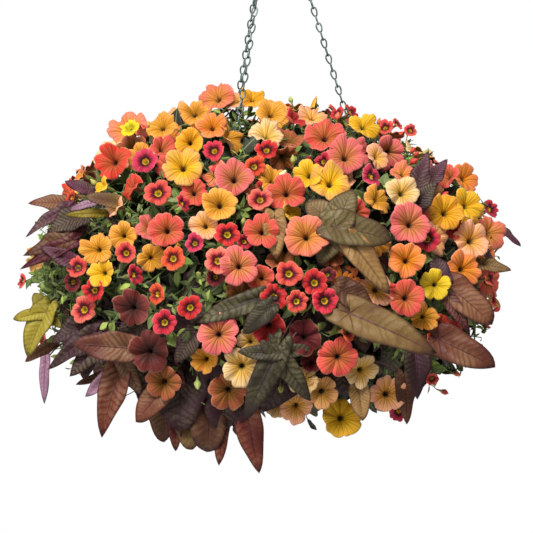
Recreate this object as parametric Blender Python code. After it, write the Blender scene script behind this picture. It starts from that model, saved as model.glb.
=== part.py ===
"""Petunia hanging basket.

A welded wire basket with a coir liner full of potting soil hangs by three jack chains from a bent
wire hook. Petunias, small calibrachoas and sweet potato vines grow out of the soil into one round
mound that hides the basket. Every shoot is one closed body: a stem with its leaves and blooms.

Metres, +Z up, +X to the right as seen from the front (the front looks along +Y). The origin is the
point inside the hook's crook that rests on the bracket.
"""
import math
import random

import bpy
import bmesh
from mathutils import Quaternion, Vector
from mathutils.bvhtree import BVHTree

for old in list(bpy.data.objects):
    bpy.data.objects.remove(old, do_unlink=True)

CM = 0.01
GAP = 0.0003                       # kept between pieces that touch

# ---- Driving dimensions: the holder ----------------------------------------------------------

CROOK_RADIUS = 0.015               # inside the hook's crook
HOOK_WIRE = 0.0025                 # radius of the hook's wire
EYE_RADIUS = 0.0065                # centreline of the eye at the hook's foot
EYE_CENTRE_Z = -0.060
RING_RADIUS = 0.013                # centreline of the ring that gathers the chains
RING_WIRE = 0.0015
RING_SPREAD = 0.008                # sideways spacing of the three chains on that ring

RIM_RADIUS = 0.150                 # a 12 inch basket
RIM_WIRE = 0.0025
RIM_Z = -0.562
BASKET_DEPTH = 0.155
RIB_WIRE = 0.0018
RIB_COUNT = 12
HOOP_DEPTHS = {"upper": 0.050, "lower": 0.105}
LINER_RADIUS = 0.143
LINER_DEPTH = 0.149
LINER_WALL = 0.008
LINER_STANDS_ABOVE_RIM = 0.010
AROUND = 24                        # flats round the basket, shared by its pieces

LINK_PITCH = 0.0205
LINK_HALF_WIDTH = 0.0034
LINK_WIRE = 0.0020
CLIP_HALF_WIDTH = 0.0052           # the last link is wider, because it goes round the rim
CHAIN_TURN = math.radians(2)       # the right-hand chain's place round the basket
CHAIN_NAMES = ["chain_right", "chain_back_left", "chain_front_left"]

# ---- Driving dimensions: the plants ----------------------------------------------------------

MOUND_CENTRE = Vector((-0.009, 0.0, -0.570))
MOUND = Vector((0.300, 0.290, 0.225))          # half sizes of the surface that the blooms sit on
VIEWER_DISTANCE = 2.30                         # the front elevations are drawn from here
VIEWER_TILT = math.radians(10)
STEM_ROOT = 0.0022
STEM_TIP = 0.0012
BLADE = 0.0010                                 # thickness of a petal or leaf

# Front elevation of the mound, in centimetres from its centre: across, up, diameter.
FRONT_PETUNIAS = [
    (-17.5, 18.5, 4.8), (-13.1, 18.6, 3.9), (-9.0, 20.5, 3.9), (-6.3, 22.0, 3.8), (-1.6, 22.0, 3.6),
    (0.6, 20.0, 4.0), (7.3, 17.6, 4.7), (12.2, 18.6, 3.8), (-19.3, 14.3, 4.7), (-10.3, 13.6, 4.5),
    (-4.1, 12.2, 5.0), (9.8, 15.3, 5.0), (13.9, 15.0, 3.2), (5.1, 12.6, 3.8), (7.9, 11.6, 4.6),
    (2.4, 10.4, 4.7), (17.0, 10.5, 4.3), (24.9, 12.4, 4.1), (-21.2, 3.3, 4.0), (-20.6, 0.0, 3.8),
    (-12.6, 5.7, 4.7), (-5.9, 8.9, 4.6), (-3.5, 1.2, 4.6), (-0.6, 5.5, 4.2), (5.0, 4.9, 5.2),
    (14.0, 9.4, 3.6), (18.0, 6.5, 5.0), (17.5, 1.9, 4.4), (17.4, -2.8, 4.4), (22.4, 7.9, 4.4),
    (25.7, 4.4, 4.8), (24.6, 0.8, 4.4), (21.1, -1.3, 3.8), (-16.8, -4.1, 4.3), (-14.7, -9.6, 4.9),
    (-6.0, -7.4, 4.9), (-12.9, -13.7, 4.3), (-3.1, -11.3, 4.5), (-4.8, -14.5, 4.7), (0.3, -6.5, 4.4),
    (8.9, -10.3, 4.2), (6.9, -14.8, 4.3), (3.6, -16.8, 4.0), (9.4, -17.8, 5.0), (15.1, -14.8, 4.9),
    (4.7, -7.8, 4.2),
]
FRONT_CALIBRACHOAS = [
    (-15.2, 14.3, 3.4), (-6.6, 15.6, 2.9), (0.0, 15.7, 2.9), (18.0, 18.1, 2.2), (-24.3, 9.7, 2.4),
    (-23.7, 1.0, 3.1), (-30.2, -0.7, 2.2), (-13.6, 10.3, 3.4), (-11.7, 2.1, 3.1), (2.8, 0.2, 3.3),
    (28.0, 8.4, 2.7), (-22.9, -4.3, 3.4), (-9.6, -4.0, 3.3), (-12.8, -5.9, 3.3), (7.3, -3.2, 3.5),
    (23.1, -6.9, 2.8), (16.7, -17.3, 2.4), (-28.0, -8.3, 2.4), (28.0, -0.4, 2.6),
]
# The vine leaves of the same elevation: base across, up, tip across, up, width.
FRONT_VINE_LEAVES = [
    (-25.0, 8.0, -29.7, 9.3, 2.2), (-24.5, 6.0, -30.3, 4.0, 2.4), (-27.4, -4.0, -30.1, -9.8, 3.4),
    (-17.3, -9.4, -24.1, -8.6, 3.2), (-27.9, -10.9, -28.0, -16.1, 1.5), (-20.0, -9.5, -23.2, -14.5, 3.6),
    (-18.6, -12.5, -20.8, -20.5, 3.2), (-13.0, -15.0, -16.6, -18.3, 3.2), (-11.5, -15.8, -12.6, -20.6, 2.6),
    (-8.2, -16.0, -9.2, -22.4, 3.6), (-6.6, -18.6, -5.9, -24.0, 1.8), (-2.6, -17.0, -1.0, -24.9, 3.4),
    (-1.0, -3.4, -9.0, -6.1, 2.6), (0.8, -9.8, -2.4, -17.6, 3.4), (2.6, -9.6, 5.8, -15.6, 2.6),
    (1.0, 6.8, 1.2, 1.9, 3.0), (8.5, 6.0, 6.7, 1.2, 3.2), (10.0, 6.2, 16.2, 4.6, 3.0),
    (11.0, 3.4, 15.2, -2.2, 3.0), (10.6, -5.0, 21.0, -9.4, 4.0), (29.6, 6.0, 32.3, 3.3, 0.9),
    (22.6, -2.4, 28.4, -6.0, 3.4), (22.0, -8.8, 28.5, -11.3, 3.8), (18.9, -9.8, 19.0, -17.8, 2.6),
    (20.0, 11.2, 20.4, 15.3, 2.2), (12.2, -14.6, 11.6, -19.6, 2.8),
]
# Rows of shoots from the top of the mound to its underside. Each row has the angle from straight
# up at which its tips lie, then the plants in order round the basket: petunia, calibrachoa, vine.
SHOOT_ROWS = [
    (24, "pcppp"),
    (52, "pcpvpcpc"),
    (78, "pcvpcvpcvpp"),
    (102, "vpcvpcvpcvp"),
    (128, "vpvvcvvp"),
]
PLANTS = {"p": "petunia_shoot", "c": "calibrachoa_shoot", "v": "sweet_potato_vine"}
HIDDEN_BLOOMS = {"p": 30, "c": 14}             # on the sides and the back, where no elevation is drawn
HIDDEN_VINE_LEAVES = 22
GOLDEN_ANGLE = math.pi * (3 - math.sqrt(5))


# ---- Materials -------------------------------------------------------------------------------

def plain_material(name, colour, roughness, metallic=0.0):
    material = bpy.data.materials.new(name)
    material.use_nodes = True
    shader = material.node_tree.nodes["Principled BSDF"]
    shader.inputs["Base Color"].default_value = (*colour, 1)
    shader.inputs["Roughness"].default_value = roughness
    shader.inputs["Metallic"].default_value = metallic
    return material


COATED_STEEL = plain_material("coated_steel", (0.045, 0.085, 0.08), 0.45, 0.6)
COIR = plain_material("coir", (0.23, 0.11, 0.045), 0.95)
SOIL = plain_material("soil", (0.035, 0.022, 0.014), 1.0)
GROWTH = {
    "p": plain_material("petunia", (0.80, 0.22, 0.12), 0.55),
    "c": plain_material("calibrachoa", (0.62, 0.03, 0.05), 0.55),
    "v": plain_material("vine_leaf", (0.14, 0.07, 0.05), 0.5),
}


# ---- Mesh helpers ----------------------------------------------------------------------------

def add_object(name, bm, material, smooth):
    bmesh.ops.recalc_face_normals(bm, faces=bm.faces)
    mesh = bpy.data.meshes.new(name)
    bm.to_mesh(mesh)
    bm.free()
    mesh.materials.append(material)
    if smooth:
        mesh.shade_smooth()
        mesh.set_sharp_from_angle(angle=math.radians(60))
    made = bpy.data.objects.new(name, mesh)
    bpy.context.collection.objects.link(made)
    return made


def bridge(bm, lower, upper):
    """Skin between two rings of points, with triangles where one ring has more than the other."""
    low = up = 0
    while low < len(lower) or up < len(upper):
        next_low = (low + 1) / len(lower)
        next_up = (up + 1) / len(upper)
        a = lower[low % len(lower)]
        b = lower[(low + 1) % len(lower)]
        c = upper[(up + 1) % len(upper)]
        d = upper[up % len(upper)]
        if abs(next_low - next_up) < 1e-6:
            bm.faces.new((a, b, c, d))
            low += 1
            up += 1
        elif next_low < next_up:
            bm.faces.new((a, b, d))
            low += 1
        else:
            bm.faces.new((a, c, d))
            up += 1


def add_ring(bm, points):
    return [bm.verts.new(point) for point in points]


def tube_rings(path, plane_normal, radii, sides, closed=False, turn=0.0):
    """Cross sections along a path that lies in one plane."""
    rings = []
    count = len(path)
    for i, point in enumerate(path):
        before = path[(i - 1) % count] if closed else path[max(i - 1, 0)]
        after = path[(i + 1) % count] if closed else path[min(i + 1, count - 1)]
        out = plane_normal.cross(after - before).normalized()
        angles = [turn + 2 * math.pi * k / sides for k in range(sides)]
        rings.append([point + radii[i] * (math.cos(a) * out + math.sin(a) * plane_normal) for a in angles])
    return rings


def add_tube(bm, path, plane_normal, radius, sides, closed=False):
    rings = tube_rings(path, plane_normal, [radius] * len(path), sides, closed)
    rings = [add_ring(bm, points) for points in rings]
    for lower, upper in zip(rings, rings[1:]):
        bridge(bm, lower, upper)
    if closed:
        bridge(bm, rings[-1], rings[0])
    else:
        bm.faces.new(rings[0])
        bm.faces.new(rings[-1])


def circle(radius, centre, axis_a, axis_b, count):
    turns = [2 * math.pi * k / count for k in range(count)]
    return [centre + radius * (math.cos(t) * axis_a + math.sin(t) * axis_b) for t in turns]


X = Vector((1, 0, 0))
Y = Vector((0, 1, 0))
Z = Vector((0, 0, 1))


def compass(angle):
    """Level direction at an angle round the basket."""
    return Vector((math.cos(angle), math.sin(angle), 0))


# ---- Hanger hook and gathering ring ----------------------------------------------------------

def make_hook():
    """One bent wire: an open crook above, a straight shank, and a closed eye at its foot."""
    crook = CROOK_RADIUS + HOOK_WIRE
    path = []
    for degrees in range(200, -41, -20):
        turn = math.radians(degrees)
        path.append(Vector((crook * math.cos(turn), 0, crook * math.sin(turn) - CROOK_RADIUS)))
    path += [Vector((0.0075, 0, -0.0345)), Vector((0.0015, 0, -0.0410)), Vector((0, 0, -0.0480))]
    for degrees in range(60, -211, -30):
        turn = math.radians(degrees)
        path.append(Vector((EYE_RADIUS * math.cos(turn), 0, EYE_CENTRE_Z + EYE_RADIUS * math.sin(turn))))
    bm = bmesh.new()
    add_tube(bm, path, Y, HOOK_WIRE, 6)
    return add_object("hanger_hook", bm, COATED_STEEL, True)


RING_CENTRE = Vector((0, 0, EYE_CENTRE_Z - EYE_RADIUS + HOOK_WIRE + RING_WIRE + GAP - RING_RADIUS))


def make_gather_ring():
    """Welded ring through the hook's eye, upright and square to it."""
    bm = bmesh.new()
    add_tube(bm, circle(RING_RADIUS, RING_CENTRE, Y, Z, 20), X, RING_WIRE, 6, closed=True)
    return add_object("gather_ring", bm, COATED_STEEL, True)


# ---- Chains ----------------------------------------------------------------------------------

def square(centre, side_u, side_v, half):
    return [centre + half * (a * side_u + b * side_v) for a, b in ((-1, -1), (1, -1), (1, 1), (-1, 1))]


def make_chain(name, azimuth, ring_offset):
    """Jack chain as one body: loops set square to each other, closed where one passes the next."""
    sag = math.sqrt(RING_RADIUS ** 2 - ring_offset ** 2)
    hang = RING_CENTRE + Vector((0, ring_offset, -sag))
    rim = RIM_RADIUS * compass(azimuth) + RIM_Z * Z
    along = (rim - hang).normalized()
    ring_tangent = Vector((0, sag, ring_offset)).normalized()
    rim_tangent = compass(azimuth + math.pi / 2)

    grip = 0.5 * LINK_PITCH                          # the ring and the rim pass through mid link
    length = (rim - hang).length + 2 * grip
    links = round(length / LINK_PITCH)
    pitch = length / links
    start = hang - grip * along
    half = 0.5 * LINK_WIRE + 0.0005
    depth = 0.0012                                   # half the height of a joint

    side_first = along.cross(ring_tangent).normalized()
    square_first = along.cross(side_first)
    side_last = along.cross(rim_tangent).normalized()
    if (links - 1) % 2:
        side_last = side_last.cross(along)
    twist = math.atan2(side_last.dot(square_first), side_last.dot(side_first))
    if twist > math.pi / 2:
        twist -= math.pi
    if twist < -math.pi / 2:
        twist += math.pi

    def sides_at(joint):
        angle = twist * joint / (links - 1) if joint < links else twist
        side_u = math.cos(angle) * side_first + math.sin(angle) * square_first
        return side_u, along.cross(side_u)

    bm = bmesh.new()
    lower_squares = []
    upper_squares = []
    middles = {}                                     # (joint, "top" or "bottom") -> its two middle points
    for joint in range(links + 1):
        side_u, side_v = sides_at(joint)
        centre = start + joint * pitch * along
        upper_squares.append(add_ring(bm, square(centre - depth * along, side_u, side_v, half)))
        lower_squares.append(add_ring(bm, square(centre + depth * along, side_u, side_v, half)))
        for where, shift, link in (("top", -depth, joint - 1), ("bottom", depth, joint)):
            if 0 <= link < links:
                split = side_v if link % 2 == 0 else side_u
                level = centre + shift * along
                middles[joint, where] = add_ring(bm, [level - half * split, level + half * split])

    for link in range(links):
        side_u, side_v = sides_at(link + 0.5)
        spread, split = (side_u, side_v) if link % 2 == 0 else (side_v, side_u)
        width = CLIP_HALF_WIDTH if link == links - 1 else LINK_HALF_WIDTH
        middle = start + (link + 0.5) * pitch * along
        first = middles[link, "bottom"]
        last = middles[link + 1, "top"]
        above = lower_squares[link]
        below = upper_squares[link + 1]
        for sign in (-1, 1):
            if link % 2 == 0:
                pick = (0, 3) if sign < 0 else (1, 2)
            else:
                pick = (0, 1) if sign < 0 else (3, 2)
            bar = middle + sign * width * spread
            wire = 0.5 * LINK_WIRE
            inner = bar - sign * wire * spread
            outer = bar + sign * wire * spread
            waist = add_ring(bm, [outer - wire * split, outer + wire * split,
                                  inner + wire * split, inner - wire * split])
            bridge(bm, [above[pick[0]], above[pick[1]], first[1], first[0]], waist)
            bridge(bm, waist, [below[pick[0]], below[pick[1]], last[1], last[0]])

    for joint in range(links + 1):
        top = upper_squares[joint]
        bottom = lower_squares[joint]
        for k in range(4):
            corners = [top[k], top[(k + 1) % 4], bottom[(k + 1) % 4], bottom[k]]
            along_u = k % 2 == 0                     # this side runs along u, so it faces along v
            if (joint, "top") in middles and ((joint - 1) % 2 == 0) == along_u:
                corners.insert(1, middles[joint, "top"][0 if k in (0, 3) else 1])
            if (joint, "bottom") in middles and (joint % 2 == 0) == along_u:
                corners.insert(-1, middles[joint, "bottom"][0 if k in (0, 3) else 1])
            bm.faces.new(corners)
    bm.faces.new(upper_squares[0])
    bm.faces.new(lower_squares[-1])
    bmesh.ops.triangulate(bm, faces=bm.faces)
    return add_object(name, bm, COATED_STEEL, False)


# ---- Wire basket, liner and soil -------------------------------------------------------------

def bowl_radius(depth, radius, full_depth):
    """Half an ellipse: the bowl's radius at a depth below its rim."""
    return radius * math.sqrt(max(0.0, 1 - (depth / full_depth) ** 2))


def make_level_ring(name, radius, z, wire, sides):
    bm = bmesh.new()
    add_tube(bm, circle(radius, z * Z, X, Y, AROUND), Z, wire, sides, closed=True)
    return add_object(name, bm, COATED_STEEL, True)


def make_ribs():
    """Ribs that rise from a small disc under the bowl and end welded under the rim."""
    disc_radius = 0.013
    bottom = RIM_Z - BASKET_DEPTH
    step = 2 * math.pi / RIB_COUNT
    bm = bmesh.new()
    rims = []
    for level in (-RIB_WIRE, RIB_WIRE):
        corners = [disc_radius * compass(k * step) + (bottom + level) * Z for k in range(RIB_COUNT)]
        rims.append(add_ring(bm, corners))
        bm.faces.new(rims[-1])
    top_depth = RIM_WIRE + RIB_WIRE + GAP
    for k in range(RIB_COUNT):
        following = (k + 1) % RIB_COUNT
        facing = compass((k + 0.5) * step)
        path = [disc_radius * facing + bottom * Z]
        for share in (0.22, 0.42, 0.62, 0.82, 1.0):
            slope = share * math.acos(top_depth / BASKET_DEPTH)
            depth = BASKET_DEPTH * math.cos(slope)
            path.append(bowl_radius(depth, RIM_RADIUS, BASKET_DEPTH) * facing + (RIM_Z - depth) * Z)
        across = Z.cross(facing)
        rings = tube_rings(path, across, [RIB_WIRE * 1.41] * len(path), 4, turn=math.pi / 4)
        previous = [rims[1][k], rims[0][k], rims[0][following], rims[1][following]]
        for points in rings[1:]:
            previous_points = [vert.co for vert in previous]
            points = best_start(previous_points, points)
            ring = add_ring(bm, points)
            bridge(bm, previous, ring)
            previous = ring
        bm.faces.new(previous)
    return add_object("basket_ribs", bm, COATED_STEEL, False)


def turned_body(profile):
    """Closed solid of revolution. The profile runs from the axis round to the axis again."""
    bm = bmesh.new()
    start = bm.verts.new((0, 0, profile[0][1]))
    end = bm.verts.new((0, 0, profile[-1][1]))
    rings = []
    for radius, z in profile[1:-1]:
        rings.append(add_ring(bm, circle(radius, z * Z, X, Y, AROUND)))
    for k in range(AROUND):
        following = (k + 1) % AROUND
        bm.faces.new((start, rings[0][k], rings[0][following]))
        bm.faces.new((end, rings[-1][k], rings[-1][following]))
    for lower, upper in zip(rings, rings[1:]):
        bridge(bm, lower, upper)
    return bm


def bowl_profile(radius, depth, top_z, steps):
    """Points of a bowl's wall from the axis at its bottom up to its edge."""
    points = []
    for k in range(steps + 1):
        slope = 0.5 * math.pi * k / steps
        points.append((radius * math.sin(slope), RIM_Z - depth * math.cos(slope)))
    if top_z > RIM_Z:
        points.append((radius, top_z))
    return points


def soil_top(radius):
    """Height of the soil at a distance from the middle: heaped, with a watering gap at the edge."""
    return RIM_Z - 0.012 + 0.020 * (1 - (radius / LINER_RADIUS) ** 2)


def make_liner():
    edge = RIM_Z + LINER_STANDS_ABOVE_RIM
    outer = bowl_profile(LINER_RADIUS, LINER_DEPTH, edge, 5)
    inner = bowl_profile(LINER_RADIUS - LINER_WALL, LINER_DEPTH - LINER_WALL, edge, 5)
    bm = turned_body(outer + inner[::-1])
    return add_object("coco_liner", bm, COIR, True)


def make_soil():
    wall = LINER_WALL + 2 * GAP
    full = bowl_profile(LINER_RADIUS - wall, LINER_DEPTH - wall, RIM_Z, 5)
    radius = 0.98 * (LINER_RADIUS - wall)            # the wall leans in a little at this height
    side = [point for point in full if point[1] < soil_top(radius) - 0.01]
    top = [(radius * share, soil_top(radius * share)) for share in (1.0, 0.6, 0.0)]
    bm = turned_body(side + top)
    return add_object("potting_soil", bm, SOIL, False)


# ---- The mound's surface ---------------------------------------------------------------------

EYE = MOUND_CENTRE + VIEWER_DISTANCE * Vector((0, -math.cos(VIEWER_TILT), math.sin(VIEWER_TILT)))
SCREEN_UP = Vector((0, math.sin(VIEWER_TILT), math.cos(VIEWER_TILT)))


def mound_normal(point):
    offset = point - MOUND_CENTRE
    return Vector([offset[k] / MOUND[k] ** 2 for k in range(3)]).normalized()


def on_mound(across, up, inset=0.0):
    """Point of the mound's front that the elevation shows at this place, in centimetres."""
    aim = MOUND_CENTRE + across * CM * X + up * CM * SCREEN_UP
    ray = (aim - EYE).normalized()
    size = [side - inset for side in MOUND]
    scaled_start = Vector([(EYE[k] - MOUND_CENTRE[k]) / size[k] for k in range(3)])
    scaled_ray = Vector([ray[k] / size[k] for k in range(3)])
    a = scaled_ray.dot(scaled_ray)
    b = scaled_start.dot(scaled_ray)
    c = scaled_start.dot(scaled_start) - 1
    inside = b * b - a * c
    if inside < 0:
        return EYE + ray * (aim - EYE).length        # beyond the outline: level with the centre
    return EYE + ray * ((-b - math.sqrt(inside)) / a)


def beside(base, across, up):
    """Point that the elevation shows at this place, as far from the viewer as a base point."""
    aim = MOUND_CENTRE + across * CM * X + up * CM * SCREEN_UP
    return EYE + (aim - EYE).normalized() * (base - EYE).length


def mound_point(polar, azimuth, inset=0.0):
    """Point of the mound at an angle from straight up and an angle round the basket."""
    level = compass(azimuth) * math.sin(polar)
    unit = (level.x, level.y, math.cos(polar))
    return MOUND_CENTRE + Vector([unit[k] * (MOUND[k] - inset) for k in range(3)])


def faces_viewer(point):
    return mound_normal(point).dot((EYE - point).normalized()) > 0.12


# ---- Shoots ----------------------------------------------------------------------------------

def middle_of(points):
    return sum(points, Vector()) / len(points)


def best_start(reference, points):
    """The same ring of points, started and turned so that it lines up with a reference ring."""
    away = middle_of(points) - middle_of(reference)
    if newell(reference).dot(away) * newell(points).dot(away) < 0:
        points = points[::-1]
    count = len(points)
    shifts = [points[k:] + points[:k] for k in range(count)]

    def stretch(shifted):
        total = 0.0
        for i, corner in enumerate(reference):
            total += (shifted[i * count // len(reference)] - corner).length_squared
        return total

    return min(shifts, key=stretch)


def newell(points):
    normal = Vector()
    for first, second in zip(points, points[1:] + points[:1]):
        normal += first.cross(second)
    return normal


def cross_axes(direction, hint):
    side = direction.cross(hint)
    if side.length < 1e-4:
        side = direction.cross(X)
    side.normalize()
    return side, side.cross(direction).normalized()


class Shoot:
    """One plant stem. Its side faces at each leaf joint are sockets, where growth can start."""

    def __init__(self, kind, name, path, plane_normal):
        self.kind = kind
        self.name = name
        self.bm = bmesh.new()
        radii = [STEM_ROOT + (STEM_TIP - STEM_ROOT) * k / (len(path) - 1) for k in range(len(path))]
        rings = tube_rings(path, plane_normal, radii, 4, turn=math.pi / 4)
        self.rings = [add_ring(self.bm, points) for points in rings]
        for lower, upper in zip(self.rings, self.rings[1:]):
            bridge(self.bm, lower, upper)
        self.bm.faces.new(self.rings[0])
        self.bm.faces.new(self.rings[-1])
        bmesh.ops.recalc_face_normals(self.bm, faces=self.bm.faces)
        self.sockets = []
        for joint in range(3, len(path) - 1, 2):     # each joint is the short stretch after ring 3, 5, 7
            for k in range(4):
                corners = {self.rings[joint][k], self.rings[joint][(k + 1) % 4],
                           self.rings[joint + 1][k], self.rings[joint + 1][(k + 1) % 4]}
                self.sockets += [face for face in self.bm.faces if set(face.verts) == corners]
        self.sockets += [face for face in self.bm.faces if set(face.verts) == set(self.rings[-1])]

    def tree(self):
        return BVHTree.FromBMesh(self.bm)


def organ_trees(rings, tip):
    """Closed skin of one bloom or leaf for the clearance test, started just clear of its stem."""
    bm = bmesh.new()
    start = [corner.lerp(rings[1][k * len(rings[1]) // len(rings[0])], 0.10) for k, corner in enumerate(rings[0])]
    made = [add_ring(bm, start)] + [add_ring(bm, points) for points in rings[1:]]
    for lower, upper in zip(made, made[1:]):
        bridge(bm, lower, upper)
    close_tip(bm, made[-1], tip)
    bmesh.ops.triangulate(bm, faces=bm.faces, quad_method="SHORT_EDGE")
    bmesh.ops.recalc_face_normals(bm, faces=bm.faces)
    tree = BVHTree.FromBMesh(bm)
    return tree, [vert.co.copy() for vert in bm.verts], crosses_itself(bm, tree)


def crosses_itself(bm, tree):
    """Whether a skin passes through itself, as where a sharply bent stalk folds its blade.

    Two faces that share no corner must not meet, and a ray that leaves a face must cross the rest
    of the skin an even number of times.
    """
    bm.faces.ensure_lookup_table()
    corners = [set(face.verts) for face in bm.faces]
    if any(a < b and not corners[a] & corners[b] for a, b in tree.overlap(tree)):
        return True
    for face in bm.faces:
        step = 0.01 * GAP * face.normal
        place = face.calc_center_median() + step
        crossings = 0
        while place is not None:
            place = tree.ray_cast(place, face.normal)[0]
            if place is not None:
                place = place + step
                crossings += 1
        if crossings % 2:
            return True
    return False


def close_tip(bm, ring, tip):
    if tip is None:
        bm.faces.new(ring)
        return
    point = bm.verts.new(tip)
    for k, corner in enumerate(ring):
        bm.faces.new((corner, ring[(k + 1) % len(ring)], point))


def is_clear(tree, corners, taken):
    for other in taken:
        if tree.overlap(other):
            return False
        for corner in corners:
            if other.find_nearest(corner, 1.5 * GAP)[0] is not None:
                return False
    return True


def bloom_rings(centre, facing, diameter, hint):
    """Trumpet: narrow tube, flared limb of five lobes, and a hollow throat that it closes on."""
    radius = diameter / 2
    side, up = cross_axes(facing, hint)
    rings = []
    for share, count, back in ((0.10, 5, 0.95), (0.28, 5, 0.30)):
        points = circle(share * radius, centre - back * radius * facing, side, up, count)
        rings.append(points)
    lobes = []
    for k in range(10):
        turn = math.pi * k / 5
        reach = radius if k % 2 == 0 else 0.84 * radius
        lift = 0.0 if k % 2 == 0 else 0.10 * radius
        lobes.append(centre + reach * (math.cos(turn) * side + math.sin(turn) * up) + lift * facing)
    rings.append(lobes)
    return rings, centre - 0.22 * radius * facing


def leaf_rings(base, tip, width, normal, lobed):
    """Flat blade with a pointed tip, four points to a ring, slightly arched outwards."""
    along = (tip - base).normalized()
    side = along.cross(normal).normalized()
    lift = side.cross(along)
    length = (tip - base).length
    shares = ((0.0, 0.14, 0.0), (0.14, 0.80, 0.05), (0.50, 1.0, 0.09), (0.80, 0.55, 0.05), (1.0, 0.05, 0.0))
    if not lobed:
        shares = ((0.0, 0.16, 0.0), (0.42, 1.0, 0.06), (1.0, 0.06, 0.0))
    rings = []
    for place, share, arch in shares:
        centre = base + place * length * along + arch * length * lift
        half = max(0.5 * width * share, 0.0006)
        rings.append([centre - half * side - 0.5 * BLADE * lift, centre + half * side - 0.5 * BLADE * lift,
                      centre + half * side + 0.5 * BLADE * lift, centre - half * side + 0.5 * BLADE * lift])
    return rings, None


def half_turned(points, own_axis, arriving):
    """A stalk's last ring, turned half way from the blade's axis to the stalk's, as a mitre is."""
    centre = middle_of(points)
    turn = Quaternion().slerp(own_axis.rotation_difference(arriving), 0.5)
    return [centre + turn @ (point - centre) for point in points]


def grow(shoots, taken, kind, rings, tip, reach):
    """Join a bloom or leaf to the nearest free socket that its stalk can reach without touching."""
    root = middle_of(rings[0])
    heading = (middle_of(rings[1]) - root).normalized()
    choices = []
    for shoot in shoots:
        if shoot.kind != kind:
            continue
        for socket in shoot.sockets:
            span = root - socket.calc_center_median()
            arriving = span.normalized()
            if span.length < reach and arriving.dot(socket.normal) > 0.30 and arriving.dot(heading) > -0.5:
                choices.append((span.length, len(choices), shoot, socket, arriving))
    for _, _, shoot, socket, arriving in sorted(choices)[:8]:
        lined = [[vert.co.copy() for vert in socket.verts]]
        lined.append(best_start(lined[0], half_turned(rings[0], heading, arriving)))
        for points in rings[1:]:
            lined.append(best_start(lined[-1], points))
        tree, corners, crossed = organ_trees(lined, tip)
        if crossed or not is_clear(tree, corners, taken):
            continue
        previous = list(socket.verts)
        shoot.sockets.remove(socket)
        shoot.bm.faces.remove(socket)
        for points in lined[1:]:
            ring = add_ring(shoot.bm, points)
            bridge(shoot.bm, previous, ring)
            previous = ring
        close_tip(shoot.bm, previous, tip)
        shoot.bm.normal_update()
        taken.append(tree)
        return shoot
    return None


def stem_path(polar, azimuth, lift):
    """Stem in one upright plane: out of the soil, up and over the rim, to just inside the mound."""
    outward = compass(azimuth)
    root_radius = 0.022 + 0.096 * min(1.0, polar / math.radians(115))
    root = root_radius * outward + (soil_top(root_radius) + 2 * GAP) * Z
    end = mound_point(polar, azimuth, 0.045)
    flat_end = end - MOUND_CENTRE
    end_radius = Vector((flat_end.x, flat_end.y)).length
    end = end_radius * outward + end.z * Z
    spread = max(0.0, math.sin(polar))
    first = root + (0.075 + lift) * Z + 0.02 * spread * outward
    second = end + 0.05 * Z + 0.02 * outward
    if polar > math.radians(95):
        first = root + (0.11 + lift) * Z + 0.01 * outward
        second = end + (0.11 + lift) * Z + 0.015 * outward
    joints = (0.0, 0.14, 0.30, 0.46, 0.48, 0.68, 0.70, 0.86, 0.89, 1.0)
    path = []
    for t in joints:
        path.append(root * (1 - t) ** 3 + 3 * first * t * (1 - t) ** 2
                    + 3 * second * t * t * (1 - t) + end * t ** 3)
    return path, Z.cross(outward)


def plant_stems(taken):
    """All the stems, row by row. A stem that would touch something is turned a little."""
    shoots = []
    counts = dict.fromkeys(PLANTS, 0)
    for row, (degrees, plants) in enumerate(SHOOT_ROWS):
        for place, kind in enumerate(plants):
            azimuth = 2 * math.pi * (place + 0.5 * (row % 2)) / len(plants) + 0.35
            for nudge in (0, 3, -3, 6, -6, 9, -9, 12, -12, 15, -15):
                path, plane = stem_path(math.radians(degrees), azimuth + math.radians(nudge), 0.004 * row)
                shoot = Shoot(kind, f"{PLANTS[kind]}_{counts[kind] + 1:02d}", path, plane)
                tree = shoot.tree()
                if is_clear(tree, [vert.co.copy() for vert in shoot.bm.verts], taken):
                    break
                shoot.bm.free()
            else:
                continue
            counts[kind] += 1
            taken.append(tree)
            shoots.append(shoot)
    return shoots


def bloom_facing(point, chance):
    """Blooms look outwards, a little up, and on the front mostly at the viewer."""
    facing = mound_normal(point) * 0.8 + Z * 0.12
    if faces_viewer(point):
        facing += 0.45 * (EYE - point).normalized()
    wobble = Vector([chance.uniform(-0.22, 0.22) for _ in range(3)])
    return (facing.normalized() + wobble).normalized()


def grow_bloom(shoots, taken, kind, place, diameter, chance):
    """Try a bloom at its place, then a little deeper, a little prouder and turned."""
    for inset in (0.0, 0.012, -0.008, 0.022, 0.034):
        point = place(inset)
        facing = bloom_facing(point, chance)
        rings, throat = bloom_rings(point, facing, diameter, Z)
        if grow(shoots, taken, kind, rings, throat, 0.16):
            return True
    return False


def grow_vine_leaf(shoots, taken, base, tip, width, normal):
    lobed = width > 0.029
    for shift in (0.0, -0.010, 0.008, -0.020):
        rings, end = leaf_rings(base + shift * normal, tip + shift * normal, width, normal, lobed)
        if grow(shoots, taken, "v", rings, end, 0.22):
            return True
    return False


def grow_front(shoots, taken, chance):
    for across, up, diameter in FRONT_PETUNIAS:
        grow_bloom(shoots, taken, "p", lambda inset: on_mound(across, up, inset), diameter * CM, chance)
    for base_across, base_up, tip_across, tip_up, width in FRONT_VINE_LEAVES:
        base = on_mound(base_across, base_up, 0.006)
        tip = beside(base, tip_across, tip_up)
        grow_vine_leaf(shoots, taken, base, tip, width * CM, mound_normal(base))
    for across, up, diameter in FRONT_CALIBRACHOAS:
        grow_bloom(shoots, taken, "c", lambda inset: on_mound(across, up, inset), diameter * CM, chance)


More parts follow.
